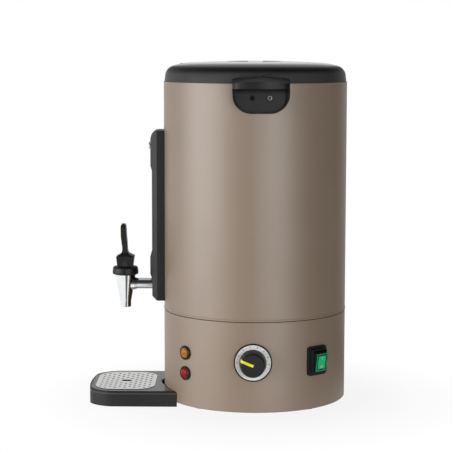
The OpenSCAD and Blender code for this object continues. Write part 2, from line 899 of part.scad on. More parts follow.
pointer_angle = 158;
pointer_w = 2.6;
pointer_t = 1.2;
knob_foot = dial_front + 0.4;
knob_face = body_r + knob_out;
knob_face_r = knob_r - 2.2;
knob_skirt_h = 3;
knob_shoulder = 3;
knob_web = 4;

// The knob's outline about X, from its foot to its face
module knob_form(play = 0) {
    rotate([0, 90, 0]) rotate_extrude() polygon([
        [0, knob_foot], [knob_r + play, knob_foot], [knob_r + play, knob_foot + knob_skirt_h],
        [knob_face_r + play + 0.8, knob_face - knob_shoulder + play],
        [knob_face_r + play, knob_face - 1.2 + play],
        [knob_face_r - 1.4, knob_face + play], [0, knob_face + play]
    ]);
}

// The slot of the pointer, from the knob's middle over its edge
module pointer_slot(play = 0) {
    rotate([pointer_angle, 0, 0])
        translate([knob_face - knob_shoulder - 6 - play, -1, -pointer_w / 2 - play])
            cube([knob_shoulder + 9, knob_r + 2, pointer_w + 2 * play]);
}

module knob() {
    color(black) at_side(dial_angle, dial_z) difference() {
        knob_form();
        rod_x(bush_nut_r + gap, knob_foot - cut, bush_end + 1);
        rod_x(shaft_r + fit, knob_foot - cut, knob_face - knob_web + 2 * fit);
        intersection() {
            pointer_slot(fit);
            difference() {
                knob_form(1);
                knob_form(-pointer_t);
            }
        }
    }
}

module knob_pointer() {
    color("yellow") at_side(dial_angle, dial_z) intersection() {
        pointer_slot();
        difference() {
            knob_form(2 * fit);
            knob_form(fit - pointer_t);
        }
    }
}

// ---------------------------------------------------------------- lamps

lamp_body_r = 6.4;
lamp_x0 = body_r - 30;
lamp_tab = 6;
lamp_tab_w = 2;
lamp_tab_t = 0.8;
lamp_tab_pitch = 6;
lamp_nut_r = lamp_body_r + 3;
lamp_nut_t = 3.6;
lamp_out = 3.2;
lamp_step = 0.8;
lens_seat = body_r + 0.9;
lens_r = 6.9;
lens_out = 5;

module at_lamp(i) {
    at_side(lamp_angle, lamp_low_z + i * lamp_pitch) children();
}

module lamp_bezels() {
    color(black) difference() {
        for (i = [0, 1])
            at_lamp(i) difference() {
                union() {
                    rod_x(lamp_r, shell_in, body_r + lamp_out - lamp_step);
                    rod_x(lamp_r - lamp_step, body_r, body_r + lamp_out);
                }
                rod_x(lens_r + fit, lens_seat, body_r + lamp_out + cut);
                rod_x(lamp_body_r + fit, shell_in - reach, body_r + lamp_out + cut);
            }
        shell_core(press);
    }
}

module lamp_bodies() {
    nut_x1 = sqrt(pow(shell_in, 2) - pow(lamp_nut_r, 2)) - fit;
    color(black) for (i = [0, 1])
        at_lamp(i) {
            rod_x(lamp_body_r, lamp_x0, lens_seat - 2 * fit);
            difference() {
                hex_x(lamp_nut_r, nut_x1 - lamp_nut_t, nut_x1);
                rod_x(lamp_body_r + fit, nut_x1 - lamp_nut_t - cut, nut_x1 + cut);
            }
            for (s = [-1, 1])
                translate([lamp_x0 - lamp_tab, (s * lamp_tab_pitch - lamp_tab_w) / 2, -lamp_tab_t / 2])
                    cube([lamp_tab, lamp_tab_w, lamp_tab_t]);
        }
}

module lens() {
    rim_x = body_r + lamp_out - 1;
    rod_x(lens_r - 2 * gap, lens_seat, rim_x + cut);
    dome_x(lens_r, body_r + lens_out - rim_x, rim_x);
}

module lens_amber() {
    color("orange") at_lamp(1) lens();
}

module lens_red() {
    color("red") at_lamp(0) lens();
}

// ---------------------------------------------------------------- switch

switch_depth = 30;
switch_x0 = body_r - switch_depth;
switch_tab = 7;
switch_tab_w = 6;
switch_tab_t = 2;
switch_tab_z = 9;
switch_hole_w = rocker_w + 2.6;
switch_hole_h = rocker_h + 4.6;
switch_body_w = switch_hole_w - 0.4;
switch_body_h = switch_hole_h - 0.4;
switch_set_in = 0.7;
pocket_t = 1.2;
pocket_depth = 10;
pocket_w = switch_body_w - 2 * pocket_t;
frame_t = 3;
frame_corner_r = 4;
collar_out = 7.5;
collar_t = 1.8;
collar_corner_r = 2.5;
rocker_play = 0.8;
rocker_axis = 2;
rocker_root = 0.5;
rocker_drum_r = 4.5;
rocker_corner_r = 2;

// A block along X with rounded corners
module soft_block(x0, x1, width, height, corner_r) {
    translate([x0, 0, 0]) rotate([90, 0, 90]) linear_extrude(height = x1 - x0)
        rounded_rect(width, height, corner_r);
}

module rounded_rect(width, height, corner_r) {
    square([width - 2 * corner_r, height], center = true);
    square([width, height - 2 * corner_r], center = true);
    for (sx = [-1, 1])
        for (sy = [-1, 1])
            translate([sx * (width / 2 - corner_r), sy * (height / 2 - corner_r)])
                circle(corner_r, $fn = 32);
}

well_w = rocker_w + 2 * rocker_play;
well_h = rocker_h + 2 * rocker_play + 2 * (collar_out - rocker_axis) * sin(rocker_tilt);

module switch_frame() {
    color(black) at_side(switch_angle, switch_z) difference() {
        union() {
            soft_block(shell_in, body_r + frame_t, switch_frame_w, switch_frame_h, frame_corner_r);
            soft_block(body_r, body_r + collar_out, well_w + 2 * collar_t, well_h + 2 * collar_t,
                       collar_corner_r);
        }
        block_x_span(shell_in - reach, body_r + collar_out + cut, well_w, well_h);
        translate([0, 0, -switch_z]) shell_core(press);
    }
}

module switch_body() {
    front = body_r - switch_set_in;
    color(black) at_side(switch_angle, switch_z) difference() {
        union() {
            block_x_span(switch_x0, front, switch_body_w, switch_body_h);
            for (s = [-1, 1])
                translate([0, 0, s * switch_tab_z])
                    block_x_span(switch_x0 - switch_tab, switch_x0, switch_tab_t, switch_tab_w);
        }
        block_x_span(front - pocket_depth, front + cut, pocket_w, switch_body_h - 2 * pocket_t);
    }
}

module rocker() {
    color([0.1, 0.7, 0.4]) at_side(switch_angle, switch_z)
        translate([body_r + rocker_axis, 0, 0]) rotate([0, rocker_tilt, 0]) {
            soft_block(-rocker_root, rocker_out - rocker_axis, rocker_w, rocker_h, rocker_corner_r);
            rod_y(rocker_drum_r, pocket_w - 2 * gap);
        }
}

// ---------------------------------------------------------------- handles

module each_handle_screw() {
    for (a = [handle_turn, 180 - handle_turn])
        for (s = [-1, 1])
            at_side(a, handle_screw_z) translate([0, s * handle_screw_pitch / 2, 0]) children();
}

// Plan of the ledge: a bowed front between two round corners
module ledge_plan(inset = 0) {
    front = handle_front - inset;
    half = handle_w / 2 - inset;
    arc_r = ledge_arc_r;
    corner_r = ledge_corner_r - inset;
    swing = arc_r - corner_r;
    corner_y = half - corner_r;
    corner_x = front - arc_r + sqrt(swing * swing - corner_y * corner_y);
    grow = arc_r / swing;
    touch_x = front - arc_r + (corner_x - front + arc_r) * grow;
    touch_y = corner_y * grow;
    polygon([
        [handle_root, -half], [corner_x, -half], [corner_x, -corner_y], [touch_x, -touch_y],
        [touch_x, touch_y], [corner_x, corner_y], [corner_x, half], [handle_root, half]
    ]);
    for (s = [-1, 1])
        translate([corner_x, s * corner_y]) circle(corner_r);
    intersection() {
        translate([front - arc_r, 0]) circle(arc_r, $fn = 160);
        translate([handle_root, -touch_y]) square([front, 2 * touch_y]);
    }
}

// Front outline of the lower plate: straight sides over two round corners
module scoop_outline(inset = 0) {
    half = handle_w / 2 - inset;
    low = handle_low_z + inset;
    r = handle_corner_r - inset;
    translate([-half, low + r]) square([2 * half, ledge_z - low - r]);
    translate([-half + r, low]) square([2 * (half - r), r + 1]);
    for (s = [-1, 1])
        translate([s * (half - r), low + r]) circle(r);
}

module scoop(x0, x1, inset = 0) {
    translate([x0, 0, 0]) rotate([90, 0, 90])
        linear_extrude(height = x1 - x0) scoop_outline(inset);
}

// The scoop's side walls and floor reach out to a slanted edge
module scoop_walls() {
    plate_x = body_r + handle_plate_t;
    intersection() {
        difference() {
            scoop(handle_root, handle_front);
            scoop(handle_root - 1, handle_front + 1, handle_t);
        }
        translate([0, 0, handle_low_z]) linear_extrude(height = scoop_h) ledge_plan();
        slab_xz([
            [handle_root, handle_low_z], [plate_x + scoop_toe, handle_low_z],
            [plate_x + 2, handle_low_z + scoop_toe_h], [handle_front - scoop_inset, ledge_z],
            [handle_root, ledge_z]
        ], handle_w);
    }
}

// The ledge under a roof that is crowned along the handle and falls towards the front
module ledge_roof() {
    intersection() {
        translate([0, 0, ledge_z])
            linear_extrude(height = ledge_drop + ridge_rise + 1) ledge_plan();
        translate([body_r, 0, ridge_z]) rotate([0, crown_tilt, 0])
            translate([0, 0, -crown_r]) rod_x(crown_r, -2 * ledge_out, 3 * ledge_out, $fn = 200);
    }
}

module handle(angle) {
    plate_x = body_r + handle_plate_t;
    difference() {
        at_side(angle, 0) difference() {
            union() {
                scoop(handle_root, plate_x);
                scoop_walls();
                ledge_roof();
            }
            translate([0, 0, ledge_z - 1]) linear_extrude(height = roof_hollow + 1) difference() {
                ledge_plan(handle_t + 0.5);
                translate([0, -handle_w]) square([plate_x, 2 * handle_w]);
            }
            for (s = [-1, 1])
                translate([0, s * handle_screw_pitch / 2, handle_screw_z]) {
                    rod_x(handle_screw_r + fit, handle_root, plate_x + cut);
                    rod_x(screw_head_r + gap, plate_x - screw_sink, plate_x + cut);
                }
        }
        shell_core(press);
    }
}

module handle_right() {
    color(black) handle(handle_turn);
}

module handle_left() {
    color(black) handle(180 - handle_turn);
}

module handle_screws() {
    head_x = body_r + handle_plate_t - screw_sink;
    head_x1 = head_x + screw_head_h;
    color(steel) each_handle_screw() difference() {
        union() {
            rod_x(screw_head_r, head_x, head_x1);
            rod_x(handle_screw_r, screw_end, head_x);
        }
        hex_x(screw_key_r, head_x1 - screw_key_depth, head_x1 + cut);
    }
}

function nut_r(screw_r) = screw_r + 1.9;

// A nut on the inside of the upper shell, on a screw that stands off_axis beside the middle
module shell_nut(screw_r, off_axis = 0) {
    x1 = sqrt(pow(shell_in, 2) - pow(off_axis + nut_r(screw_r), 2)) - fit;
    difference() {
        hex_x(nut_r(screw_r), x1 - nut_t, x1);
        rod_x(screw_r + fit, x1 - nut_t - cut, x1 + cut);
    }
}

module shell_nuts() {
    color(steel) {
        each_handle_screw() shell_nut(handle_screw_r, handle_screw_pitch / 2);
        at_front(panel_screw_z) shell_nut(panel_screw_r);
    }
}

// ---------------------------------------------------------------- gauge panel

window_w = 9;
window_up = 51.4;
window_h = 98;
panel_screw_r = 2.5;
panel_chamfer_z = 5.6;
panel_crown = 14;
panel_slant = 10.5;
root_x = body_r - 8;

// Side outline of the panel: thick head, thin middle and a boss above the tap
module panel_outline(inset = 0) {
    side = panel_x - inset;
    thin = body_r + panel_thin - inset;
    thick = body_r + panel_head - inset;
    boss = body_r + panel_boss - inset;
    crown = [for (a = [0 : 15 : 90])
        [side + (thick - side) * cos(a), panel_z1 - panel_crown + (panel_crown - inset) * sin(a)]];
    slab_xz(concat(
        [[root_x, panel_z0 + inset], [side, panel_z0 + inset], [thin, panel_z0 + panel_chamfer_z],
         [thin, shank_z + 7.6], [boss, shank_z + 14.4], [boss, shank_z + 37.8], [thin, shank_z + 47.4],
         [thin, panel_screw_z - 32.6], [thick, panel_screw_z - 26.6]],
        crown, [[root_x, panel_z1 - inset]]
    ), panel_w);
}

// Plan of the panel: upright sides and slanted front edges
module panel_plan(inset = 0) {
    half = panel_w / 2 - inset;
    edge_x = panel_x - inset / 2;
    translate([0, 0, panel_z0]) linear_extrude(height = panel_z1 - panel_z0)
        polygon([
            [root_x, -half], [edge_x, -half], [edge_x + panel_slant, panel_slant - half],
            [edge_x + panel_slant, half - panel_slant], [edge_x, half], [root_x, half]
        ]);
}

module gauge_panel() {
    hollow_z0 = panel_z0 + panel_chamfer_z;
    front = body_r + panel_head + panel_boss;
    color(black) at_front() difference() {
        intersection() {
            panel_outline();
            panel_plan();
        }
        intersection() {
            translate([root_x, -panel_w / 2, hollow_z0])
                cube([body_r + panel_thin - panel_t - root_x, panel_w,
                      panel_z1 - panel_crown - hollow_z0]);
            panel_plan(panel_t);
        }
        translate([body_r, -window_w / 2, shank_z + window_up])
            cube([front - body_r, window_w, window_h]);
        translate([0, 0, shank_z]) rod_x(shank_r + 2 * fit, body_r, front);
        translate([0, 0, panel_screw_z]) rod_x(panel_screw_r + fit, body_r, front);
        shell_core(press);
    }
}

module gauge_glass() {
    color([0.8, 0.9, 0.95, 0.4]) at_front() translate([glass_x, 0, 0])
        tube(glass_r, glass_r - glass_t, glass_z0 + seal_play, glass_z1 - seal_play);
}

// A block behind the panel that ends on the shell
module panel_block(z0, z1) {
    difference() {
        translate([shell_in, -tee_w / 2, z0]) cube([block_x - shell_in, tee_w, z1 - z0]);
        shell_core(press);
    }
}

module gauge_tee() {
    color(brass) at_front() difference() {
        panel_block(tee_z0, tee_top);
        translate([0, 0, shank_z]) rod_x(shank_r + fit, shell_in - reach, block_x + cut);
        translate([glass_x, 0, glass_z0]) cylinder(r = gland_seat_r, h = tee_top);
        translate([glass_x, 0, shank_z]) cylinder(r = glass_r - glass_t, h = tee_h);
    }
}

module gauge_head() {
    color(brass) at_front() difference() {
        panel_block(head_z0, panel_screw_z + dome_head_r);
        translate([0, 0, panel_screw_z]) rod_x(panel_screw_r + fit, shell_in - reach, block_x + cut);
        translate([glass_x, 0, head_z0 - cut]) cylinder(r = gland_seat_r, h = head_seat + cut);
    }
}

module gauge_seals() {
    color(black) at_front() translate([glass_x, 0, 0]) {
        tube(gland_seat_r - fit, glass_r + fit, glass_z0 + seal_play, tee_top);
        tube(gland_seat_r - fit, glass_r + fit, head_z0, glass_z1 - seal_play);
    }
}

dome_head_r = 5.5;
dome_head_h = 2.8;

module panel_screw() {
    head_x = body_r + panel_head + 2 * fit;
    color(chrome) at_front(panel_screw_z) {
        rod_x(panel_screw_r, screw_end, head_x + cut);
        dome_x(dome_head_r, dome_head_h, head_x);
    }
}

// ---------------------------------------------------------------- tap

shank_end = tap_x - chamber_r - 1;
washer_r = 12;
washer_t = 2.5;
shank_nut_t = 5;
shank_in = tank_r - washer_t - shank_nut_t - 2;
spout_h = 7.6;
neck_h = 5;
neck_z = bonnet_z + neck_h;

module tap_shank() {
    color(chrome) at_front(shank_z) difference() {
        rod_x(shank_r, shank_in, shank_end);
        rod_x(shank_bore_r, shank_in - cut, shank_end + cut);
        translate([glass_x, 0, 0]) cylinder(r = glass_r - glass_t, h = shank_r + 1);
    }
}

// One washer inside the tank and one outside, each ground to the wall's curve
module shank_washers() {
    color(black) at_front(shank_z) difference() {
        rod_x(washer_r, tank_r - washer_t, tank_out + washer_t);
        rod_x(shank_r + fit, tank_r - washer_t - cut, tank_out + washer_t + cut);
        tube(tank_out + fit, tank_r - fit, -washer_r - cut, washer_r + cut);
    }
}

module shank_nut() {
    x1 = tank_r - washer_t - fit;
    color(steel) at_front(shank_z) difference() {
        hex_x(washer_r, x1 - shank_nut_t, x1);
        rod_x(shank_r + fit, x1 - shank_nut_t - cut, x1 + cut);
    }
}

module tap_body() {
    boss_r = shank_r + 1.6;
    collar_r = boss_r - 0.8;
    boss_x0 = tap_x - cone_r + 0.5;
    boss_x1 = tap_x - spout_r;
    color(chrome) at_front() difference() {
        union() {
            translate([tap_x, 0, 0]) rotate_extrude() polygon([
                [0, spout_z], [spout_r, spout_z], [spout_r, spout_z + spout_h],
                [cone_r, bonnet_z - 4 * fit], [bonnet_bore_r - fit, bonnet_z - 4 * fit],
                [bonnet_bore_r - fit, neck_z], [0, neck_z]
            ]);
            translate([0, 0, shank_z]) {
                rod_x(boss_r, boss_x0, boss_x1);
                rod_x(collar_r, boss_x0 - 0.8, boss_x1);
            }
        }
        translate([tap_x, 0, spout_z - cut]) cylinder(r = spout_bore_r, h = neck_z);
        translate([tap_x, 0, seat_z]) cylinder(r = chamber_r, h = neck_z);
        translate([0, 0, shank_z]) {
            rod_x(shank_r + fit, boss_x0 - reach, shank_end);
            rod_x(shank_bore_r, shank_end - cut, tap_x);
        }
    }
}

module bonnet() {
    color(black) at_front() translate([tap_x, 0, 0]) difference() {
        rotate_extrude() polygon([
            [0, bonnet_z], [bonnet_r - 0.8, bonnet_z], [bonnet_r, bonnet_z + 1.2],
            [bonnet_r, bonnet_z + 3.2], [bonnet_r - 0.6, bonnet_top - 2.2],
            [bonnet_r - 1.1, bonnet_top - 0.8], [bonnet_r - 2.2, bonnet_top], [0, bonnet_top]
        ]);
        translate([0, 0, bonnet_z - cut]) cylinder(r = bonnet_bore_r, h = neck_h + 4 * fit + cut);
        translate([0, 0, bonnet_z]) cylinder(r = stem_r + fit, h = bonnet_h + cut);
        translate([0, 0, bonnet_z]) cylinder(r = cup_stalk_r + 8 * fit, h = bonnet_h - bonnet_web);
    }
}

cup_h = 12;
cup_disc_h = 3.6;
stem_foot = seat_z + 3;

module seat_cup() {
    color([0.92, 0.9, 0.86]) at_front() translate([tap_x, 0, seat_z]) difference() {
        union() {
            translate([0, 0, fit]) cylinder(r = cup_r, h = cup_disc_h);
            cylinder(r = cup_stalk_r, h = cup_h);
        }
        translate([0, 0, stem_foot - seat_z]) cylinder(r = stem_r + fit, h = cup_h);
    }
}

module valve_stem() {
    color(steel) at_front() translate([tap_x, 0, 0]) difference() {
        union() {
            translate([0, 0, stem_foot]) cylinder(r = stem_r, h = lever_pin_z - stem_foot);
            translate([0, 0, lever_pin_z]) rod_y(eye_r, eye_w);
        }
        translate([0, 0, lever_pin_z]) rod_y(lever_pin_r + fit, eye_w + 2);
    }
}

eye_r = 3.1;
eye_w = 5;
lever_w = 20;
lever_play = 0.5;
lever_slot = 11.2;
insert_w = 9;

// Side outline of the lever: rocking foot with two horns, then a blade that leans forward
function lever_outline() = [
    [-lever_foot, bonnet_top + foot_play], [lever_foot, bonnet_top + foot_play],
    [lever_foot + 0.3, bonnet_top + 2], [lever_foot + 1.6, bonnet_top + 14],
    [lever_foot - 0.8, bonnet_top + 15], [6.2, bonnet_top + 17.2], [4.2, bonnet_top + 20],
    [3.8, bonnet_top + 24], [4.6, bonnet_top + 34], [5.4, lever_top_z - 18],
    [5.7, lever_top_z - 3], [4.6, lever_top_z], [0.2, lever_top_z], [-1.1, lever_top_z - 3],
    [-2, lever_top_z - 18], [-2.6, bonnet_top + 34], [-3.1, bonnet_top + 24],
    [-3.7, bonnet_top + 20], [-5.8, bonnet_top + 17.2], [-lever_foot + 0.8, bonnet_top + 15.4],
    [-lever_foot - 1.9, bonnet_top + 14.4], [-lever_foot - 0.3, bonnet_top + 2]
];

// Front outline of the lever: round foot, narrow waist and a broad tip
module lever_front() {
    rotate([90, 0, 90]) linear_extrude(height = 3 * lever_w, center = true) polygon([
        [-lever_w / 2, bonnet_top], [lever_w / 2, bonnet_top],
        [lever_w / 2, bonnet_top + 14], [6.8, bonnet_top + 19], [6.2, bonnet_top + 26],
        [8.6, lever_top_z - 4], [7.4, lever_top_z - 1], [5, lever_top_z + 1],
        [-5, lever_top_z + 1], [-7.4, lever_top_z - 1], [-8.6, lever_top_z - 4],
        [-6.2, bonnet_top + 26], [-6.8, bonnet_top + 19], [-lever_w / 2, bonnet_top + 14]
    ]);
}

// The coloured insert on the front of the blade
module insert_form(play = 0) {
    low = bonnet_top + 30;
    high = lever_top_z - 5;
    slab_xz([
        [3.2 - play, low - play], [4.6, low - play], [5.65, lever_top_z - 18],
        [5.95, high + play], [4.6 - play, high + play], [4.2 - play, lever_top_z - 18]
    ], insert_w + 2 * play);
}

module lever() {
    color(black) at_front() translate([tap_x, 0, 0]) {
        difference() {
            intersection() {
                slab_xz(lever_outline(), lever_w);
                lever_front();
            }
            translate([0, 0, lever_pin_z]) rod_y(eye_r + lever_play, eye_w + 2 * lever_play);
            translate([-lever_slot / 2, -eye_w / 2 - lever_play, bonnet_top - 1])
                cube([lever_slot, eye_w + 2 * lever_play, lever_pin_up + 2]);
            insert_form(fit);
        }
        translate([0, 0, lever_pin_z]) rod_y(lever_pin_r, eye_w + 2 * lever_play + 1);
    }
}

module lever_insert() {
    color([0.7, 0.8, 0.1]) at_front() translate([tap_x, 0, 0]) insert_form();
}

// ---------------------------------------------------------------- lid

// Outer line of the lid, from its edge to the crown, raised or lowered as one
function lid_line(drop = 0) = [
    [lid_r - drop, lid_z], [lid_r - 0.7 - drop, lid_z + lid_h * 0.24],
    [lid_r - 1.5 - drop, lid_z + lid_h * 0.41], [lid_r - 2.6 - drop, lid_z + lid_h * 0.49 - drop * 0.3],
    [lid_r - 4.5 - drop, lid_z + lid_h * 0.59 - drop * 0.6],
    [lid_r - 7.8 - drop, lid_z + lid_h * 0.69 - drop * 0.8],
    [lid_r - 14.5 - drop, lid_z + lid_h * 0.785 - drop], [lid_r - 30.3, lid_z + lid_h * 0.893 - drop],
    [lid_r * 0.475, crown_z - 1.1 - drop], [0, crown_z - drop]
];

module lid_dome(drop = 0) {
    rotate_extrude($fn = 180) polygon(concat([[0, lid_z - drop]], [[lid_r - drop, lid_z - drop]],
        lid_line(drop)));
}

vent_cap_r = 6.3;
vent_cap_h = 1.4;
vent_top = lid_z + lid_h * 0.87;

module lid_shell() {
    color(black) difference() {
        union() {
            difference() {
                lid_dome();
                lid_dome(lid_t);
            }
            intersection() {
                lid_dome();
                translate([0, 0, recess_z - lid_t]) cylinder(r = recess_r + lid_t, h = crown_z);
            }
        }
        difference() {
            translate([0, 0, recess_z]) cylinder(r = recess_r, h = recess_depth + 1);
            translate([-recess_r, -grip_w / 2, recess_z - 1])
                cube([2 * recess_r, grip_w, recess_depth + 2]);
        }
        translate([0, -vent_y, liner_z]) cylinder(r = vent_tube_r + 4 * fit, h = lid_h);
        translate([0, -vent_y, vent_top - vent_cap_h]) cylinder(r = vent_cap_r + 4 * fit, h = lid_h);
    }
}

module lid_liner() {
    plug_z = lip_z - plug_depth;
    color(steel) difference() {
        rotate_extrude() polygon([
            [0, plug_z], [plug_r, plug_z], [plug_r, liner_z], [liner_r, liner_z],
            [liner_r, liner_z + liner_t], [plug_r - liner_t, liner_z + liner_t],
            [plug_r - liner_t, plug_z + liner_t], [0, plug_z + liner_t]
        ]);
        translate([0, -vent_y, 0]) cylinder(r = vent_tube_r + fit, h = crown_z);
    }
}

module lid_seal() {
    color(white) tube(lip_r - 1, plug_r + fit, seal_z, liner_z);
}

module lid_vent() {
    color(black) translate([0, -vent_y, 0]) {
        tube(vent_tube_r, vent_bore_r, lip_z - plug_depth - cut, vent_top - vent_cap_h);
        tube(vent_cap_r, vent_bore_r, vent_top - vent_cap_h, vent_top);
    }
}

// ---------------------------------------------------------------- drip tray

// Plan of the tray: straight sides, round front corners and a bowed front
module tray_plan(inset = 0) {
    half = tray_w / 2 - inset;
    front = tray_front - inset;
    r = tray_corner_r - inset;
    difference() {
        intersection() {
            union() {
                translate([-half, -front + r]) square([2 * half, front - r]);
                translate([-half + r, -front]) square([2 * (half - r), r + 1]);
                for (s = [-1, 1])
                    translate([s * (half - r), -front + r]) circle(r);
            }
            translate([0, tray_bow_r - inset - front]) circle(tray_bow_r - inset, $fn = 360);
        }
        circle(tray_rear_r + inset, $fn = 200);
        translate([0, -notch_y]) circle(notch_r + inset);
    }
}

notch_r = 40;
notch_y = tray_rear_r - notch_r + 3.2;
basin_w = grille_w - 2 * tray_ledge;
basin_l = grille_l - 2 * tray_ledge;
edge_steps = 3;

module grille_plan(width, length, corner_r) {
    translate([0, -grille_y]) rounded_rect(width, length, corner_r);
}

module drip_tray() {
    color(black) difference() {
        union() {
            linear_extrude(height = tray_h - tray_edge_r) tray_plan();
            for (i = [1 : edge_steps])
                linear_extrude(height = tray_h - tray_edge_r * (1 - sin(90 * i / edge_steps)))
                    tray_plan(tray_edge_r * (1 - cos(90 * (i - 0.5) / edge_steps)));
        }
        translate([0, 0, grille_z - fit]) linear_extrude(height = tray_h)
            grille_plan(grille_w + gap, grille_l + gap, grille_corner_r + gap / 2);
        translate([0, 0, tray_t]) linear_extrude(height = tray_h)
            grille_plan(basin_w, basin_l, grille_corner_r - tray_ledge);
        translate([0, 0, -cut]) linear_extrude(height = tray_h - tray_t - grille_t + cut)
            difference() {
                tray_plan(tray_t);
                grille_plan(basin_w + 2 * tray_t, basin_l + 2 * tray_t,
                            grille_corner_r - tray_ledge + tray_t);
            }
    }
}

grille_columns = 11;
grille_row_pitch = 12.4;
slot_w = 9;
slot_l = 14;
slot_corner_r = 4.4;
hole_margin = 3;
grille_rows = 11;

// Whether a hole stands clear of the grille's edge and of the finger slot
function hole_fits(x, y) =
    let (
        ax = abs(x), ay = abs(y), margin = grille_hole_r + hole_margin,
        cx = ax - (grille_w / 2 - grille_corner_r), cy = ay - (grille_l / 2 - grille_corner_r),
        inside = cx > 0 && cy > 0
            ? norm([cx, cy]) < grille_corner_r - margin
            : ax < grille_w / 2 - margin && ay < grille_l / 2 - margin
    )
    inside && (ax > slot_w / 2 + margin || ay > slot_l / 2 + margin);

module drip_grille() {
    color(chrome) translate([0, 0, grille_z]) linear_extrude(height = grille_t) difference() {
        grille_plan(grille_w, grille_l, grille_corner_r);
        translate([0, -grille_y]) {
            rounded_rect(slot_w, slot_l, slot_corner_r);
            for (i = [0 : grille_columns - 1]) {
                y = (i - (grille_columns - 1) / 2) * grille_pitch;
                shift = i % 2 == 0 ? 0 : 0.5;
                for (j = [0 : grille_rows - 1]) {
                    x = (j - (grille_rows - 1) / 2 + shift) * grille_row_pitch;
                    if (hole_fits(x, y)) translate([x, y]) circle(grille_hole_r, $fn = 24);
                }
            }
        }
    }
}

// ---------------------------------------------------------------- assembly

base_shell();
base_plate();
feet();
foot_screws();
foot_nuts();
joint_ring();
deck_plate();
upper_shell();
rim_ring();
inner_tank();
tank_stand();
insulation_jacket();
heat_plate();
heating_element();
thermostat_body();
limiter_body();
bush_nuts();
capillaries();
reset_button();
terminal_block();
wiring();
cord_gland();
gland_nuts();
dial_rim();
scale_ring();
thermostat_shaft();
knob();
knob_pointer();
lamp_bezels();
lamp_bodies();
lens_amber();
lens_red();
switch_frame();
switch_body();
rocker();
handle_right();
handle_left();
handle_screws();
shell_nuts();
gauge_panel();
gauge_glass();
gauge_tee();
gauge_head();
gauge_seals();
panel_screw();
tap_shank();
shank_washers();
shank_nut();
tap_body();
bonnet();
seat_cup();
valve_stem();
lever();
lever_insert();
lid_shell();
lid_liner();
lid_seal();
lid_vent();
drip_tray();
drip_grille();
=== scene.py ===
import math

import bpy
from mathutils import Matrix, Quaternion, Vector


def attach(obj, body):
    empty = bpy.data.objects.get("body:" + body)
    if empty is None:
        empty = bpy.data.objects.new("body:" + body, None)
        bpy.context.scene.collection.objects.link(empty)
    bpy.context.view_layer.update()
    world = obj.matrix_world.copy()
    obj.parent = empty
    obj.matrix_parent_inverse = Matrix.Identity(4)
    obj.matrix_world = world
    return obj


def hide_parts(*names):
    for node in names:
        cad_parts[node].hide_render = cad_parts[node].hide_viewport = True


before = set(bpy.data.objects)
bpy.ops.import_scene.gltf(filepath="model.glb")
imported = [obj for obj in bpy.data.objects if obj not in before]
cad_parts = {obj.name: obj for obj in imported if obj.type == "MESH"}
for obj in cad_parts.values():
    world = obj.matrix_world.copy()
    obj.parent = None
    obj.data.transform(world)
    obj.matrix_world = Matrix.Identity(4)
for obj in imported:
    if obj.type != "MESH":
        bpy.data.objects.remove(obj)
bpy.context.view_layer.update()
bpy.ops.object.select_all(action="DESELECT")


# ---- camera ----
# A long lens two metres away, a little above the lid's edge. It looks slightly down at the
# side of the urn that carries the dial, with the tap on the left.
yaw, pitch, roll = -0.0183, 0.1176, 0.0015
lens_data = bpy.data.cameras.new("camera")
lens_data.lens = 126.32
lens_data.sensor_width = 36
camera = bpy.data.objects.new("camera", lens_data)
bpy.context.scene.collection.objects.link(camera)
bpy.context.scene.camera = camera
sight = Vector((-math.cos(yaw) * math.cos(pitch), math.sin(yaw) * math.cos(pitch),
                -math.sin(pitch)))
camera.location = (2.105, 0, 0.4802)
camera.rotation_mode = "QUATERNION"
camera.rotation_quaternion = sight.to_track_quat("-Z", "Y") @ Quaternion((0, 0, 1), roll)
bpy.context.scene.view_settings.view_transform = "Standard"


# ---- soft studio light ----
# One low soft box stands on the left, another in front on the right, and a weak one hangs above.
# The pale room fills in the rest. In reflections it is white low down, dim overhead, and dark
# where the camera stands and on the right.
class Shade:
    """A shader socket that takes part in Python sums, which add their Math nodes."""

    def __init__(self, tree, socket=None):
        self.tree, self.socket = tree, socket

    def node(self, kind, settings, inputs, output=0):
        """Adds one node: its settings first, then the values or links of its sockets."""
        node = self.tree.nodes.new(kind)
        for name, value in settings.items():
            setattr(node, name, value)
        for name, value in inputs.items():
            if isinstance(value, Shade):
                self.tree.links.new(value.socket, node.inputs[name])
            else:
                node.inputs[name].default_value = value
        return Shade(self.tree, node.outputs[output] if node.outputs else None)

    def maths(self, operation, a, b=0.0):
        return self.node("ShaderNodeMath", {"operation": operation}, {0: a, 1: b})

    def __add__(self, other):
        return self.maths("ADD", self, other)

    def __sub__(self, other):
        return self.maths("SUBTRACT", self, other)

    def __mul__(self, other):
        return self.maths("MULTIPLY", self, other)

    def __rsub__(self, other):
        return self.maths("SUBTRACT", other, self)

    __radd__ = __add__
    __rmul__ = __mul__

    def vector(self, operation, other=(0, 0, 0), output=0):
        """Vector Math on this vector and another."""
        return self.node("ShaderNodeVectorMath", {"operation": operation},
                         {0: self, 1: other}, output)

    def along(self, axis):
        """The X, Y or Z of this vector."""
        return self.node("ShaderNodeSeparateXYZ", {}, {0: self}, axis)

    def mix(self, low, high):
        """Goes from colour low to colour high as this value goes from 0 to 1."""
        return self.node("ShaderNodeMix", {"data_type": "RGBA"}, {0: self, 6: low, 7: high}, 2)

    def between(self, low, high):
        """Goes from 0 to 1 as this value goes from low to high."""
        return self.node("ShaderNodeMapRange", {}, {0: self, 1: low, 2: high})


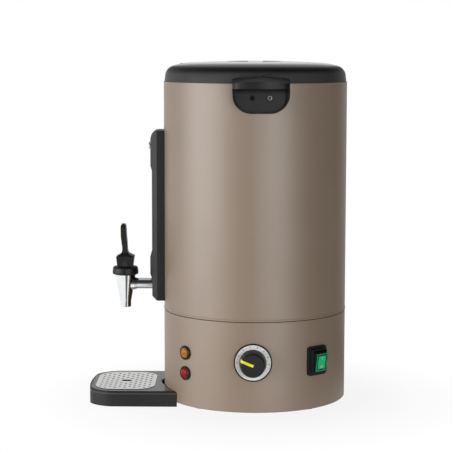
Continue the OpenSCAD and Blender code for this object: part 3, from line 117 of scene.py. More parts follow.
def ray_kinds(shade):
    """1 for the rays of the camera, and 1 for those by which metal and glass see a thing."""
    camera_ray = shade.node("ShaderNodeLightPath", {}, {}, "Is Camera Ray")
    glossy_ray = shade.node("ShaderNodeLightPath", {}, {}, "Is Glossy Ray")
    return camera_ray, glossy_ray + shade.node("ShaderNodeLightPath", {}, {}, "Is Transmission Ray")


def toward(direction, heading, low, high):
    """Goes from 0 to 1 as a direction turns to a heading, by the cosine between them."""
    level = direction.vector("MULTIPLY", (1, 1, 0)).vector("NORMALIZE")
    return level.vector("DOT_PRODUCT", heading, "Value").between(low, high)


def soft_box(name, place, target, width, height, power):
    lamp = bpy.data.lights.new(name, "AREA")
    lamp.shape = "RECTANGLE"
    lamp.size, lamp.size_y, lamp.energy = width, height, power
    stand = bpy.data.objects.new(name, lamp)
    bpy.context.scene.collection.objects.link(stand)
    stand.location = place
    stand.rotation_euler = (Vector(target) - Vector(place)).to_track_quat("-Z", "Y").to_euler()


soft_box("key_light", (0.98, -1.96, 0.24), (0, 0, 0.16), 2.1, 0.86, 45)
soft_box("top_light", (-0.9, -0.2, 1.9), (0, 0, 0.4), 2.6, 2.6, 7)
soft_box("front_light", (2.3, 1.0, 0.28), (0, 0, 0.2), 1.6, 0.8, 33)

to_camera, to_right = (1, 0, 0), (0, 1, 0)
fill_level = 0.08
room = bpy.data.worlds.new("pale_room")
room.use_nodes = True
room.node_tree.nodes.clear()
shade = Shade(room.node_tree)
camera_ray, mirror_ray = ray_kinds(shade)
direction = shade.node("ShaderNodeTexCoord", {}, {}, "Generated")
overhead = direction.along("Z").between(0.1, 0.42)
camera_gap = toward(direction, to_camera, 0.93, 0.985)
right_side = toward(direction, to_right, 0.5, 0.85)
mirrored = (1 - overhead * 0.85) * (1 - camera_gap * 0.8) * (1 - right_side * 0.95)
level = camera_ray + mirror_ray * mirrored + (1 - camera_ray) * (1 - mirror_ray) * fill_level
pale = shade.node("ShaderNodeBackground", {}, {"Color": (1, 1, 1, 1), "Strength": level})
shade.node("ShaderNodeOutputWorld", {}, {"Surface": pale})
bpy.context.scene.world = room


# ---- studio floor ----
# A pale sheet on which the urn stands. It shows near white with a faint share of the urn's
# shadow, and in reflections it is dark where the room is dark. A narrow wedge out from the tap's
# foot is painted dark in reflections only, a painted reflection that lays a dark streak on the tap.
bpy.ops.mesh.primitive_plane_add(size=16, location=(0, 0, 0))
floor = bpy.context.object
floor.name = "studio_floor"
bpy.ops.object.transform_apply(location=True, rotation=True, scale=True)
sheet = bpy.data.materials.new("studio_sheet")
sheet.use_nodes = True
sheet.node_tree.nodes.clear()
shade = Shade(sheet.node_tree)
spot = shade.node("ShaderNodeTexCoord", {}, {}, "Object")
away = spot.vector("LENGTH", output="Value")
near = 1 - away.between(0.13, 0.3)
camera_ray, mirror_ray = ray_kinds(shade)
tap_foot, tap_heading = (0, -0.173, 0), (0.961, 0.276, 0)
from_tap = spot.vector("SUBTRACT", tap_foot)
# painted reflection: a wedge out from the tap's foot is dark in reflections only
painted_tap_streak = toward(from_tap, tap_heading, 0.955, 0.985) * away.between(0.2, 0.24)
camera_gap = toward(spot, to_camera, 0.93, 0.985) * away.between(0.45, 0.7)
right_side = toward(spot, to_right, 0.5, 0.85) * away.between(0.14, 0.3)
reflected_dark = (painted_tap_streak + camera_gap + right_side) * mirror_ray
lit = shade.node("ShaderNodeBsdfDiffuse", {}, {"Color": (0.82, 0.82, 0.82, 1)})
glow = shade.node("ShaderNodeEmission", {}, {
    "Color": reflected_dark.mix((1, 1, 1, 1), (0.15, 0.15, 0.15, 1))})
backdrop = shade.node("ShaderNodeMixShader", {}, {0: near * 0.12, 1: glow, 2: lit})
surface = shade.node("ShaderNodeMixShader", {}, {
    0: camera_ray + mirror_ray, 1: lit, 2: backdrop})
shade.node("ShaderNodeOutputMaterial", {}, {"Surface": surface})
floor.data.materials.append(sheet)


# ---- painted shells ----
# Two cylinders of 1.2 mm steel sheet, one above the other, powder coated in a warm grey-brown.
# The coat is satin with a fine even grain; the upper shell ends in a rolled bead. Its colour is
# painted lighter low down and darker towards the top: painted shading of how the light falls.
def ink(red, green, blue):
    """A colour given in 0 to 255 steps, as the shader's linear values."""
    steps = (value / 255 for value in (red, green, blue))
    return (*(s / 12.92 if s <= 0.04045 else ((s + 0.055) / 1.055) ** 2.4 for s in steps), 1)


def new_finish(name):
    """An empty material, the start of its sums, and the point on the urn in metres."""
    material = bpy.data.materials.new(name)
    material.use_nodes = True
    material.node_tree.nodes.clear()
    shade = Shade(material.node_tree)
    return material, shade, shade.node("ShaderNodeTexCoord", {}, {}, "Object")


def grain_of(point, size, detail=2.0, rough=0.5):
    """Noise whose spots are about size millimetres across."""
    return point.node("ShaderNodeTexNoise", {}, {
        "Vector": point, "Scale": 1000 / size, "Detail": detail, "Roughness": rough})


def relief(height, depth, strength=1.0):
    """A bump whose full height is depth millimetres."""
    return height.node("ShaderNodeBump", {}, {
        "Height": height, "Distance": depth / 1000, "Strength": strength})


def close_finish(shade, settings):
    """Ends a material in its surface shader."""
    surface = shade.node("ShaderNodeBsdfPrincipled", {}, settings)
    shade.node("ShaderNodeOutputMaterial", {}, {"Surface": surface})


def dress(piece, finish):
    """Puts a finish on every face of a piece or CAD node."""
    if not piece.material_slots:
        piece.data.materials.append(finish)
    for slot in piece.material_slots:
        slot.material = finish


def dress_nodes(finish, *names):
    for name in names:
        dress(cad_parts[name], finish)


taupe_coat, shade, point = new_finish("taupe_powder_coat")
drift = grain_of(point, 60, 1.0).between(0.3, 0.7)
peel = grain_of(point, 1.3, 3.0, 0.6)
fleck = grain_of(point, 0.45, 1.0).between(0.35, 0.75)
# painted shading: the coat is painted lighter towards the foot and darker towards the top
lower = drift.mix(ink(138, 119, 101), ink(141, 122, 104))
upper = drift.mix(ink(129, 111, 94), ink(132, 114, 97))
painted_height_shade = point.along("Z").between(0.03, 0.38).mix(lower, upper)
close_finish(shade, {
    "Base Color": (fleck * 0.2).mix(painted_height_shade, ink(150, 132, 115)),
    "Roughness": peel.between(0.2, 0.8) * 0.08 + 0.42,
    "Specular IOR Level": 0.85,
    "Normal": relief(peel, 0.035, 0.6)})
dress_nodes(taupe_coat, "base_shell", "upper_shell")


# ---- joint between the shells ----
# A moulded black ring that locates the upper shell on the base shell. It shows as a dark line
# one millimetre wide. A second ring centres the tank's mouth.
def moulded_black(name, colour, roughness, texture, depth, gloss=0.32):
    """Black plastic with a spark eroded grain of texture millimetres."""
    finish, shade, point = new_finish(name)
    grain = grain_of(point, texture, 3.0, 0.65)
    darker = tuple(channel * 0.8 for channel in colour[:3]) + (1,)
    close_finish(shade, {
        "Base Color": grain_of(point, 35, 1.0).between(0.3, 0.7).mix(darker, colour),
        "Roughness": grain.between(0.25, 0.75) * 0.14 + roughness,
        "Specular IOR Level": gloss,
        "Normal": relief(grain, depth, 0.8)})
    return finish


satin_black = moulded_black("satin_black_plastic", ink(26, 26, 27), 0.40, 0.7, 0.03)
dress_nodes(satin_black, "joint_ring", "rim_ring")


# ---- lid ----
# One deep moulding of black plastic: a flat dome that turns down over a soft shoulder, with a
# round grip recess in its middle and a bar left standing across it. Its top is glossy black, and
# its sides are painted a lighter grey, a painted sheen of the light that they catch.
def choose(*pieces):
    """Selects these pieces alone, or nothing."""
    bpy.ops.object.select_all(action="DESELECT")
    for piece in pieces:
        piece.select_set(True)
    if pieces:
        bpy.context.view_layer.objects.active = pieces[0]


def settle(piece):
    """Moves a piece's place, turn and size into its mesh."""
    choose(piece)
    bpy.ops.object.transform_apply(location=True, rotation=True, scale=True)
    return piece


def turned(name, outline, steps=120):
    """Spins a closed outline of (radius, height) points, in millimetres, about the upright axis."""
    choose()
    bpy.ops.mesh.primitive_circle_add(vertices=len(outline), radius=0.01)
    piece = bpy.context.object
    piece.name = name
    for corner, (radius, height) in zip(piece.data.vertices, outline):
        corner.co = (radius / 1000, 0, height / 1000)
    bpy.ops.object.mode_set(mode="EDIT")
    bpy.ops.mesh.select_all(action="SELECT")
    bpy.ops.mesh.spin(steps=steps, angle=math.tau, center=(0, 0, 0), axis=(0, 0, 1))
    bpy.ops.mesh.select_all(action="SELECT")
    bpy.ops.mesh.remove_doubles(threshold=0.000002)
    bpy.ops.mesh.delete_loose()
    bpy.ops.mesh.select_all(action="SELECT")
    bpy.ops.mesh.normals_make_consistent(inside=False)
    bpy.ops.object.mode_set(mode="OBJECT")
    return piece


def drum(radius, depth, place, facets, turn=(0, 0, 0)):
    """A cylinder for a cut, with its sizes in metres."""
    choose()
    bpy.ops.mesh.primitive_cylinder_add(
        vertices=facets, radius=radius, depth=depth, location=place, rotation=turn)
    return bpy.context.object


def finish_modifier(piece, kind, **settings):
    choose(piece)
    modifier = piece.modifiers.new(kind.lower(), kind)
    for name, value in settings.items():
        setattr(modifier, name, value)
    bpy.ops.object.modifier_apply(modifier=modifier.name)


def eased(piece, width, segments=3, angle=30):
    """Rounds the hard edges of a piece by width millimetres and smooths its faces."""
    finish_modifier(piece, "BEVEL", width=width / 1000, segments=segments, limit_method="ANGLE",
                    angle_limit=math.radians(angle), use_clamp_overlap=True)
    choose(piece)
    bpy.ops.object.shade_smooth_by_angle(angle=math.radians(40))
    finish_modifier(piece, "WEIGHTED_NORMAL", keep_sharp=True)
    return piece


def cut_by(piece, tool, operation="DIFFERENCE"):
    finish_modifier(piece, "BOOLEAN", object=tool, operation=operation, solver="EXACT")
    bpy.data.objects.remove(tool)


def flowing(points, steps=4):
    """A smooth line through the given points."""
    line = []
    for i in range(len(points) - 1):
        before, start = points[max(i - 1, 0)], points[i]
        end, after = points[i + 1], points[min(i + 2, len(points) - 1)]
        for step in range(steps):
            t = step / steps
            line.append(tuple(
                0.5 * (2 * b + (c - a) * t + (2 * a - 5 * b + 4 * c - d) * t * t
                       + (3 * b - a - 3 * c + d) * t ** 3)
                for a, b, c, d in zip(before, start, end, after)))
    return line + [points[-1]]


lid_wall = 2.5
vent_place = (0, -0.093, 0)
vent_hole_r, vent_hole_z = 0.0065, 0.446
recess_r, recess_floor, recess_cut, bar_half = 0.036, 0.4343, 0.03, 0.0097
lid_top = [(120, 424.9), (119.3, 431.2), (118.5, 435.8), (117.4, 437.9), (115.5, 440.6),
           (112.2, 443.3), (105.5, 445.8), (89.7, 448.7), (57, 450.2), (38.6, 450.7)]
crown = [(20, 451.05), (0, 451.2)]
plug = [(0, 431.8), (38.6, 431.8), (38.6, 448.1)]
under = [(r - lid_wall * min(1, (r - 30) / 70), z - lid_wall) for r, z in reversed(lid_top[5:9])]
skirt = [(115.4, 436.2), (116.8, 431), (117.5, 424.9)]
lid = turned("lid", flowing(lid_top) + crown + plug + under + skirt, 180)
for side in (-1, 1):
    scoop = settle(drum(recess_r, recess_cut, (0, 0, recess_floor + recess_cut / 2), 144))
    bpy.ops.object.mode_set(mode="EDIT")
    bpy.ops.mesh.select_all(action="SELECT")
    bpy.ops.mesh.bisect(plane_co=(0, side * bar_half, 0), plane_no=(0, side, 0), use_fill=True,
                        clear_inner=True)
    bpy.ops.object.mode_set(mode="OBJECT")
    cut_by(lid, scoop)
cut_by(lid, drum(vent_hole_r, 0.04, (0, vent_place[1], vent_hole_z), 48))
eased(lid, 0.7, 3, 38)
lid_black, shade, point = new_finish("lid_black_plastic")
height = point.along("Z")
on_top = height.between(0.4435, 0.4475)
# painted light: below the top, the lid's sides are painted lighter grey than its black top
above_side = height.between(0.4365, 0.4405)
grain = grain_of(point, 0.9, 3.0, 0.65)
cloud = grain_of(point, 35, 1.0).between(0.3, 0.7)
close_finish(shade, {
    "Base Color": above_side.mix(cloud.mix(ink(57, 57, 58), ink(63, 63, 64)),
                                 cloud.mix(ink(18, 18, 19), ink(23, 23, 24))),
    "Roughness": grain.between(0.25, 0.75) * 0.06 + 0.42,
    "Specular IOR Level": 0.12,
    "Coat Weight": on_top,
    "Coat Roughness": 0.15,
    "Normal": relief(grain * (1 - on_top * 0.8), 0.02, 0.8)})
dress(lid, lid_black)
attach(lid, "lid")
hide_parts("lid_shell")


# ---- lid's steam vent, liner and seal ----
# The vent is a turned plastic plug through the lid, with a dished cap and a small bore. A
# stainless liner closes the lid from below and carries the silicone seal.
vent = turned("steam_vent", [
    (3.2, 411.2), (4.5, 411.2), (4.5, 446.7), (6.3, 446.7), (6.3, 447.6), (5.9, 448.05),
    (5.2, 448.05), (3.9, 447.5), (3.2, 447.4)], 48)
vent.location = vent_place
eased(settle(vent), 0.2, 2)
dress(vent, satin_black)
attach(vent, "lid")
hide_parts("lid_vent")


def sheet_metal(name, colour, roughness, stretch, depth=0.01):
    """Rolled or brushed metal, its marks drawn out by the stretch along X, Y and Z."""
    finish, shade, point = new_finish(name)
    marks = shade.node("ShaderNodeTexNoise", {}, {
        "Vector": point.vector("MULTIPLY", stretch), "Scale": 1.0, "Detail": 4.0,
        "Roughness": 0.6})
    cloud = grain_of(point, 25, 2.0).between(0.3, 0.7)
    darker = tuple(channel * 0.82 for channel in colour[:3]) + (1,)
    close_finish(shade, {
        "Base Color": (marks.between(0.3, 0.7) * 0.6 + cloud * 0.4).mix(darker, colour),
        "Metallic": 0.8,
        "Roughness": marks.between(0.2, 0.8) * 0.16 + roughness,
        "Normal": relief(marks, depth, 0.5)})
    return finish


stainless = sheet_metal("brushed_stainless", ink(214, 214, 212), 0.24, (1800, 1800, 60))
dress_nodes(stainless, "lid_liner", "inner_tank", "shank_nut", "valve_stem")
silicone, shade, point = new_finish("milky_silicone")
cloud = grain_of(point, 6, 2.0)
close_finish(shade, {
    "Base Color": cloud.between(0.3, 0.7).mix(ink(214, 211, 202), ink(228, 225, 216)),
    "Roughness": cloud * 0.2 + 0.42,
    "Subsurface Weight": 0.15,
    "Normal": relief(cloud, 0.05, 0.4)})
dress_nodes(silicone, "lid_seal", "seat_cup", "gauge_seals", "shank_washers")


# ---- carrying handles ----
# A moulded handle under each side of the lid: a crowned ledge for the fingers over a scooped
# plate, held by two socket screws. The band just under the ledge is painted near black, a painted
# shadow in that deep corner, and is made rougher there.
def carved(node, name, edge, segments=3, angle=30):
    """A copy of a CAD node, merged into whole faces, with its edges rounded by edge millimetres."""
    piece = bpy.data.objects.new(name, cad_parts[node].data.copy())
    bpy.context.scene.collection.objects.link(piece)
    choose(piece)
    bpy.ops.mesh.customdata_custom_splitnormals_clear()
    bpy.ops.object.mode_set(mode="EDIT")
    bpy.ops.mesh.select_all(action="SELECT")
    bpy.ops.mesh.remove_doubles(threshold=0.000004)
    bpy.ops.mesh.dissolve_limited(angle_limit=math.radians(0.05))
    bpy.ops.object.mode_set(mode="OBJECT")
    return eased(piece, edge, segments, angle)


handle_black, shade, point = new_finish("handle_black_plastic")
height = point.along("Z")
# painted shadow: a band darkening to near black just under the ledge, also made rougher
corner = height.between(0.4115, 0.4178) * (1 - height.between(0.4182, 0.4186))
grain = grain_of(point, 0.8, 3.0, 0.65)
plain = grain_of(point, 35, 1.0).between(0.3, 0.7).mix(ink(20, 20, 21), ink(24, 24, 25))
close_finish(shade, {
    "Base Color": (corner * 0.9).mix(plain, ink(3, 3, 3)),
    "Roughness": grain.between(0.25, 0.75) * 0.14 + 0.37 + corner * 0.4,
    "Specular IOR Level": 0.2,
    "Normal": relief(grain, 0.03, 0.8)})
for name in ("handle_right", "handle_left"):
    handle = carved(name, "grip_" + name, 0.9)
    dress(handle, handle_black)
    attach(handle, "urn")
    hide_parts(name)


# ---- fasteners ----
# Steel screws and nuts. The feet's screws and the nuts inside the shells are zinc plated. Each
# handle has one blackened socket screw on its left and one zinc plated on its right. A near-black
# plug fills each screw's socket, a painted shadow in its hollow.
def clouded(name, low, high, size, roughness, spread, detail=2.0, rough=0.5, bump=None,
            constants=None):
    """A finish whose colour and roughness drift in spots of size millimetres. Its bump is given
    as spot size, depth and strength; with no spot size it follows the drift."""
    finish, shade, point = new_finish(name)
    cloud = grain_of(point, size, detail, rough).between(0.3, 0.7)
    settings = {"Base Color": cloud.mix(ink(*low), ink(*high)),
                "Roughness": cloud * spread + roughness}
    if bump:
        spots, depth, strength = bump
        settings["Normal"] = relief(grain_of(point, spots) if spots else cloud, depth, strength)
    close_finish(shade, settings | (constants or {}))
    return finish


zinc = clouded("zinc_plate", (96, 98, 102), (120, 119, 116), 4, 0.26, 0.12,
               bump=(0.5, 0.01, 0.3), constants={"Metallic": 1.0})
oxide_and_shadow_black = clouded("black_oxide_and_shadow", (5, 5, 6), (9, 9, 10), 2, 0.5, 0.1,
                constants={"Specular IOR Level": 0.1})
dress_nodes(zinc, "foot_screws", "foot_nuts", "shell_nuts")


def on_side(piece, angle, radius, height, aside=0):
    """Stands a piece made about the upright axis on the urn's side: its top then faces outwards."""
    turn = math.radians(angle)
    across = Vector((-math.sin(turn), math.cos(turn), 0))
    up = Vector((0, 0, 1))
    out = Vector((math.cos(turn), math.sin(turn), 0))
    stand = Matrix.Translation((out * radius + across * aside + up * height) / 1000)
    piece.matrix_world = stand @ Matrix((across, up, out)).transposed().to_4x4()
    return settle(piece)


def copy_of(piece, name):
    """Another piece of the same shape, with its own mesh."""
    twin = bpy.data.objects.new(name, piece.data.copy())
    bpy.context.scene.collection.objects.link(twin)
    return twin


handle_turn, screw_z, screw_aside = 3.3, 406.6, 11
model_head = eased(turned("handle_screw", [
    (0, 118), (2.35, 118), (2.35, 122.85), (2.75, 122.85), (2.9, 123), (2.9, 124.3),
    (2.65, 124.6), (1.7, 124.6), (1.4, 124.35), (1.4, 123.4), (0, 123.4)], 48), 0.08, 1)
# painted shadow: a near-black plug fills each screw's hex socket, for the dark hollow in it
model_shadow_plug = turned("socket_shadow_plug", [(0, 123.2), (1.38, 123.2), (1.38, 124.1), (0, 123.9)], 32)
heads, sockets = [], []
for turn in (handle_turn, 180 - handle_turn):
    for side, plating in ((-1, oxide_and_shadow_black), (1, zinc)):
        for model, finish, group in ((model_head, plating, heads),
                                     (model_shadow_plug, oxide_and_shadow_black, sockets)):
            twin = copy_of(model, f"{model.name}_{len(group) + 1}")
            dress(twin, finish)
            group.append(on_side(twin, turn, 0, screw_z, side * screw_aside))
for model in (model_head, model_shadow_plug):
    bpy.data.objects.remove(model)
for pieces, name in ((heads, "socket_screws"), (sockets, "socket_shadow_plugs")):
    choose(*pieces)
    bpy.ops.object.join()
    pieces[0].name = name
    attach(pieces[0], "urn")
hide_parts("handle_screws")


# ---- gauge panel ----
# A tall black moulding down the front. It covers the level gauge, with a window over the glass,
# a thick head that takes the screw, and a boss above the tap.
panel_black = moulded_black("panel_black_plastic", ink(24, 24, 25), 0.37, 0.8, 0.03)
panel = carved("gauge_panel", "panel_moulding", 0.8)
dress(panel, panel_black)
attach(panel, "urn")
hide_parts("gauge_panel")


# ---- gauge glass and its fittings ----
# A clear glass tube between a brass tee on the tap's shank and a brass head at the top, each
# joint packed with a silicone ring.
glass, shade, point = new_finish("gauge_glass")
film = grain_of(point, 12, 2.0)
close_finish(shade, {
    "Base Color": film.between(0.3, 0.7).mix(ink(226, 240, 240), ink(240, 248, 248)),
    "Roughness": film * 0.05 + 0.02,
    "IOR": 1.5,
    "Transmission Weight": 1.0})
dress_nodes(glass, "gauge_glass")
brass = sheet_metal("machined_brass", ink(206, 176, 108), 0.22, (300, 300, 3000))
dress_nodes(brass, "gauge_tee", "gauge_head", "bush_nuts", "capillaries", "thermostat_shaft")


# ---- panel screw ----
# A polished dome head in the panel's thick head, on a plain shank. Chrome faces that look back
# at the panel are painted dark grey, a painted reflection of the dark panel beside them.
def arc(centre, radius, start, end, steps=6):
    """Points on an arc, with angles in degrees from the outward direction."""
    angles = [math.radians(start + (end - start) * i / steps) for i in range(steps + 1)]
    return [(centre[0] + radius * math.cos(a), centre[1] + radius * math.sin(a)) for a in angles]


front = -90
panel_out, panel_screw_z = 139.8, 339.3
chrome, shade, point = new_finish("polished_chrome")
haze = grain_of(point, 9, 2.0).between(0.35, 0.75)
# painted reflection: chrome faces that turn towards the panel are painted dark grey
painted_panel_reflection = shade.node("ShaderNodeTexCoord", {}, {}, "Normal").along("Y").between(0.44, 0.58)
close_finish(shade, {
    "Base Color": painted_panel_reflection.mix(haze.mix(ink(241, 242, 243), ink(232, 233, 235)), ink(70, 70, 72)),
    "Metallic": 1.0,
    "Roughness": haze * 0.05 + 0.06})
dome = turned("panel_screw_dome", [(0, -20), (2.4, -20), (2.4, 0), (5.1, 0), (5.5, 0.4)]
              + arc((0, -4.3), 7.1, 40, 90, 8)[1:], 64)
on_side(dome, front, panel_out, panel_screw_z)
eased(dome, 0.15, 2)
dress(dome, chrome)
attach(dome, "urn")
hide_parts("panel_screw")


# ---- tap shank and body ----
# Chromed brass. A tube comes out of the panel into a round boss on the tap's body, which is a
# cone that narrows down to the spout. Its neck carries the bonnet.
shank_z = 153.6
tap_place = (0, -0.1733, 0)
across_front = (math.pi / 2, 0, 0)
socket_r, bore_r = 0.0075, 0.0046
shank = turned("tap_tube", [
    (4.6, 95.5), (7.1, 95.5), (7.42, 95.8), (7.42, 163.2), (4.6, 163.2)], 96)
on_side(shank, front, 0, shank_z)
eased(shank, 0.1, 1)
tap = turned("tap_cone", [
    (5.2, 122.3), (7.0, 122.3), (7.35, 122.65), (7.4, 129.6), (7.55, 130.2), (13.55, 165.0),
    (13.65, 165.8), (13.4, 166.25), (12.4, 166.3), (12.4, 171.4), (7.9, 171.4), (7.9, 146.5),
    (5.2, 146.4)], 128)
tap.location = tap_place
settle(tap)
boss = turned("boss", [(0, 158.5), (7.9, 158.5), (8.25, 158.9), (8.25, 160.15), (8.7, 160.15),
                       (9.05, 160.5), (9.05, 165.9), (0, 165.9)], 96)
cut_by(tap, on_side(boss, front, 0, shank_z), "UNION")
cut_by(tap, drum(socket_r, 0.006, (0, -0.1611, shank_z / 1000), 96, across_front))
cut_by(tap, drum(bore_r, 0.016, (0, -0.166, shank_z / 1000), 64, across_front))
eased(tap, 0.25, 2, 35)
for piece, node in ((shank, "tap_shank"), (tap, "tap_body")):
    dress(piece, chrome)
    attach(piece, "urn")
    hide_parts(node)


# ---- tap bonnet ----
# A black moulded cap over the tap's neck. The stem comes up through it to the lever.
cap = turned("bonnet_cap", [
    (2.55, 172.6), (12.6, 172.6), (12.6, 166.5), (16.3, 166.5), (17.1, 167.0), (17.4, 167.9),
    (17.4, 169.2), (16.85, 174.4), (16.4, 175.7), (15.4, 176.6), (14.6, 176.7), (2.55, 176.7)], 120)
cap.location = tap_place
eased(settle(cap), 0.25, 2, 35)
tap_black = moulded_black("tap_black_plastic", ink(22, 22, 23), 0.38, 0.3, 0.003, 0.25)
dress(cap, tap_black)
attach(cap, "urn")
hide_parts("bonnet")


# ---- tap lever, its pin and its insert ----
# A horned foot rocks on the bonnet and lifts the stem. The blade above it is thin and leans a
# little forward. It carries a lime insert on its front, and a pin's ring shows on its foot.
pin_z = 180.8
blade = carved("lever", "lever_blade", 0.7, 3, 25)
dress(blade, tap_black)
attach(blade, "tap_lever")
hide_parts("lever")
pin = turned("lever_pin_end", [
    (0, 9.6), (2.4, 9.6), (2.4, 10.05), (2.2, 10.25), (1.7, 10.25), (1.5, 10.05), (1.5, 9.8),
    (0, 9.8)], 40)
on_side(pin, 0, 0, pin_z, tap_place[1] * 1000)
dress(pin, zinc)
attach(pin, "tap_lever")
lime = clouded("lime_plastic", (228, 232, 26), (244, 246, 34), 5, 0.32, 0.08,
               bump=(0.6, 0.01, 0.4))
insert = carved("lever_insert", "lever_lime_insert", 0.15, 2, 25)
insert.location = (0, -0.0003, 0)
dress(settle(insert), lime)
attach(insert, "tap_lever")
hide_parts("lever_insert")


# ---- dial ----
# A black rim pressed on the thermostat's bush holds a silver scale ring with eight marks. The
# knob is a tapered black moulding with a lime pointer let into its face and edge.
dial_turn, dial_z = -0.8, 70.7
rim = turned("dial_surround", [
    (6.6, 118.4), (24.4, 118.4), (24.6, 121), (24.6, 122.5)] + arc((23.9, 122.5), 0.7, 0, 90, 4)[1:]
    + [(23.4, 123.2), (23.05, 122.9), (22.95, 122.45), (6.6, 122.4)], 128)
on_side(rim, dial_turn, 0, dial_z)
eased(rim, 0.1, 1)
dress(rim, tap_black)
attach(rim, "urn")
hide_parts("dial_rim")
ring = turned("scale_plate", [(12, 122.45), (22.85, 122.45), (22.85, 122.9), (22.75, 123.0),
                              (12.1, 123.0), (12, 122.9)], 128)
on_side(ring, dial_turn, 0, dial_z)
eased(ring, 0.05, 1)
silver = clouded("scale_silver", (214, 214, 213), (230, 230, 229), 3, 0.38, 0.1, 3.0,
                 bump=(0.3, 0.005, 0.4), constants={"Metallic": 0.25})
dress(ring, silver)
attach(ring, "urn")
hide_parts("scale_ring")


def block(name, size, place=(0, 0, 0)):
    """A box of the given size in millimetres about a place in metres."""
    choose()
    bpy.ops.mesh.primitive_cube_add(size=0.001, location=place)
    piece = bpy.context.object
    piece.name = name
    piece.scale = size
    return settle(piece)


mark_count, first_mark, sweep = 8, 180, -185
mark_size, mark_place = (2.0, 0.9, 0.08), (0.0203, 0, 0.12299)
print_grey = clouded("printed_grey", (96, 96, 98), (122, 122, 124), 0.4, 0.5, 0.1, 3.0)
model_mark = eased(block("model_mark", mark_size, mark_place), 0.02, 1)
for mark in range(mark_count):
    tick = copy_of(model_mark, f"dial_mark_{mark + 1}")
    tick.rotation_euler = (0, 0, math.radians(first_mark + sweep * mark / (mark_count - 1)))
    on_side(settle(tick), dial_turn, 0, dial_z)
    dress(tick, print_grey)
    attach(tick, "urn")
bpy.data.objects.remove(model_mark)
knob = turned("knob_moulding", [
    (8, 123.65), (16.9, 123.65), (17.3, 124.0), (17.35, 124.6), (17.3, 126.5), (16.95, 127.2),
    (15.8, 139.7), (15.6, 140.4), (15.0, 141.6), (14.6, 142.1), (13.9, 142.65), (13.4, 142.85),
    (8, 142.88), (0, 142.88), (0, 139.2), (3.02, 139.2), (3.02, 126), (8, 126)], 144)
on_side(knob, dial_turn, 0, dial_z)
eased(knob, 0.15, 2, 35)
knob_black = moulded_black("knob_black_plastic", ink(29, 29, 30), 0.42, 0.5, 0.005, 0.26)
dress(knob, knob_black)
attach(knob, "dial_knob")
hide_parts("knob")
pointer = carved("knob_pointer", "knob_lime_pointer", 0.2, 2, 30)
pointer_turn, pointer_widening = 158, 1.35
along = Matrix.Rotation(math.radians(dial_turn), 4, "Z") \
    @ Matrix.Translation((0, 0, dial_z / 1000)) \
    @ Matrix.Rotation(math.radians(pointer_turn), 4, "X")
for move in (along.inverted(), Matrix.Diagonal((1, 1, pointer_widening, 1)), along):
    pointer.matrix_world = move
    settle(pointer)
dress(pointer, lime)
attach(pointer, "dial_knob")
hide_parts("knob_pointer")


# ---- pilot lamps ----
# Two round lamps, one above the other: a stepped black bezel and a domed lens, red below and
# amber above. The lens is ribbed inside, which breaks up its colour.
def lens_plastic(name, deep, bright):
    """Coloured plastic, bright on its ribs and deep between them."""
    finish, shade, point = new_finish(name)
    ribs = shade.node("ShaderNodeTexVoronoi", {"feature": "F1"}, {"Vector": point, "Scale": 420.0})
    cloud = grain_of(point, 5, 1.0).between(0.35, 0.65)
    close_finish(shade, {
        "Base Color": (ribs.between(0.0, 0.75) * 0.55 + cloud * 0.45).mix(bright, deep),
        "Roughness": cloud * 0.06 + 0.3,
        "Specular IOR Level": 0.15,
        "Subsurface Weight": 0.2,
        "Normal": relief(ribs, 0.02, 0.25)})
    return finish


lamp_turn, red_z, amber_z = -47.4, 48.6, 75.5
lens_r, lens_foot, lens_rise = 6.85, 123.2, 2.75
lens_dome = [(lens_r * math.cos(math.radians(a)), lens_foot + lens_rise * math.sin(math.radians(a)))
             for a in range(8, 90, 9)]
model_lens = eased(turned(
    "model_lens", [(0, 121.95), (6.6, 121.95), (6.75, lens_foot)] + lens_dome + [(0, 125.98)], 72),
    0.1, 1)
model_bezel = eased(turned("model_bezel", [
    (6.6, 118.9), (9.2, 118.9), (9.25, 119.4), (9.25, 122.9), (9.0, 123.35), (8.5, 123.45),
    (8.4, 123.9), (8.1, 124.2), (7.4, 124.2), (7.05, 123.9), (6.95, 122.0), (6.6, 121.9)], 72),
    0.1, 1)
amber = lens_plastic("amber_lens", ink(150, 84, 20), ink(214, 138, 40))
red = lens_plastic("red_lens", ink(112, 8, 16), ink(196, 26, 38))
bezels = []
for name, height, finish, node, slot in (("red", red_z, red, "lens_red", "red_lens"),
                                         ("amber", amber_z, amber, "lens_amber", "amber_lens")):
    bezels.append(on_side(copy_of(model_bezel, name + "_lamp_bezel"), lamp_turn, 0, height))
    lens = on_side(copy_of(model_lens, name + "_lamp_lens"), lamp_turn, 0, height)
    dress(lens, finish)
    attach(lens, "urn")
    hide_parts(node)
for model in (model_lens, model_bezel):
    bpy.data.objects.remove(model)
choose(*bezels)
bpy.ops.object.join()
pair = bezels[0]
pair.name = "lamp_bezel_pair"
gloss_black = moulded_black("gloss_black_plastic", ink(18, 18, 19), 0.22, 0.6, 0.01)
dress(pair, gloss_black)
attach(pair, "urn")
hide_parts("lamp_bezels")
dress_nodes(satin_black, "lamp_bodies", "switch_body")


# ---- power switch ----
# A rounded black frame with a raised collar. In it rocks a dark green shell. Its front has a
# green border round a brighter window, printed with a bar at the top and a ring at the foot.
switch_turn, switch_z = 41.1, 68.5
surround = carved("switch_frame", "switch_surround", 0.6, 3, 30)
dress(surround, satin_black)
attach(surround, "urn")
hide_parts("switch_frame")
actuator = carved("rocker", "rocker_shell", 0.5, 3, 30)
deep_green = clouded("deep_green_plastic", (8, 44, 31), (12, 58, 41), 4, 0.26, 0.08,
                     bump=(None, 0.02, 0.3),
                     constants={"Specular IOR Level": 0.2, "Subsurface Weight": 0.1})
dress(actuator, deep_green)
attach(actuator, "power_rocker")
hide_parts("rocker")


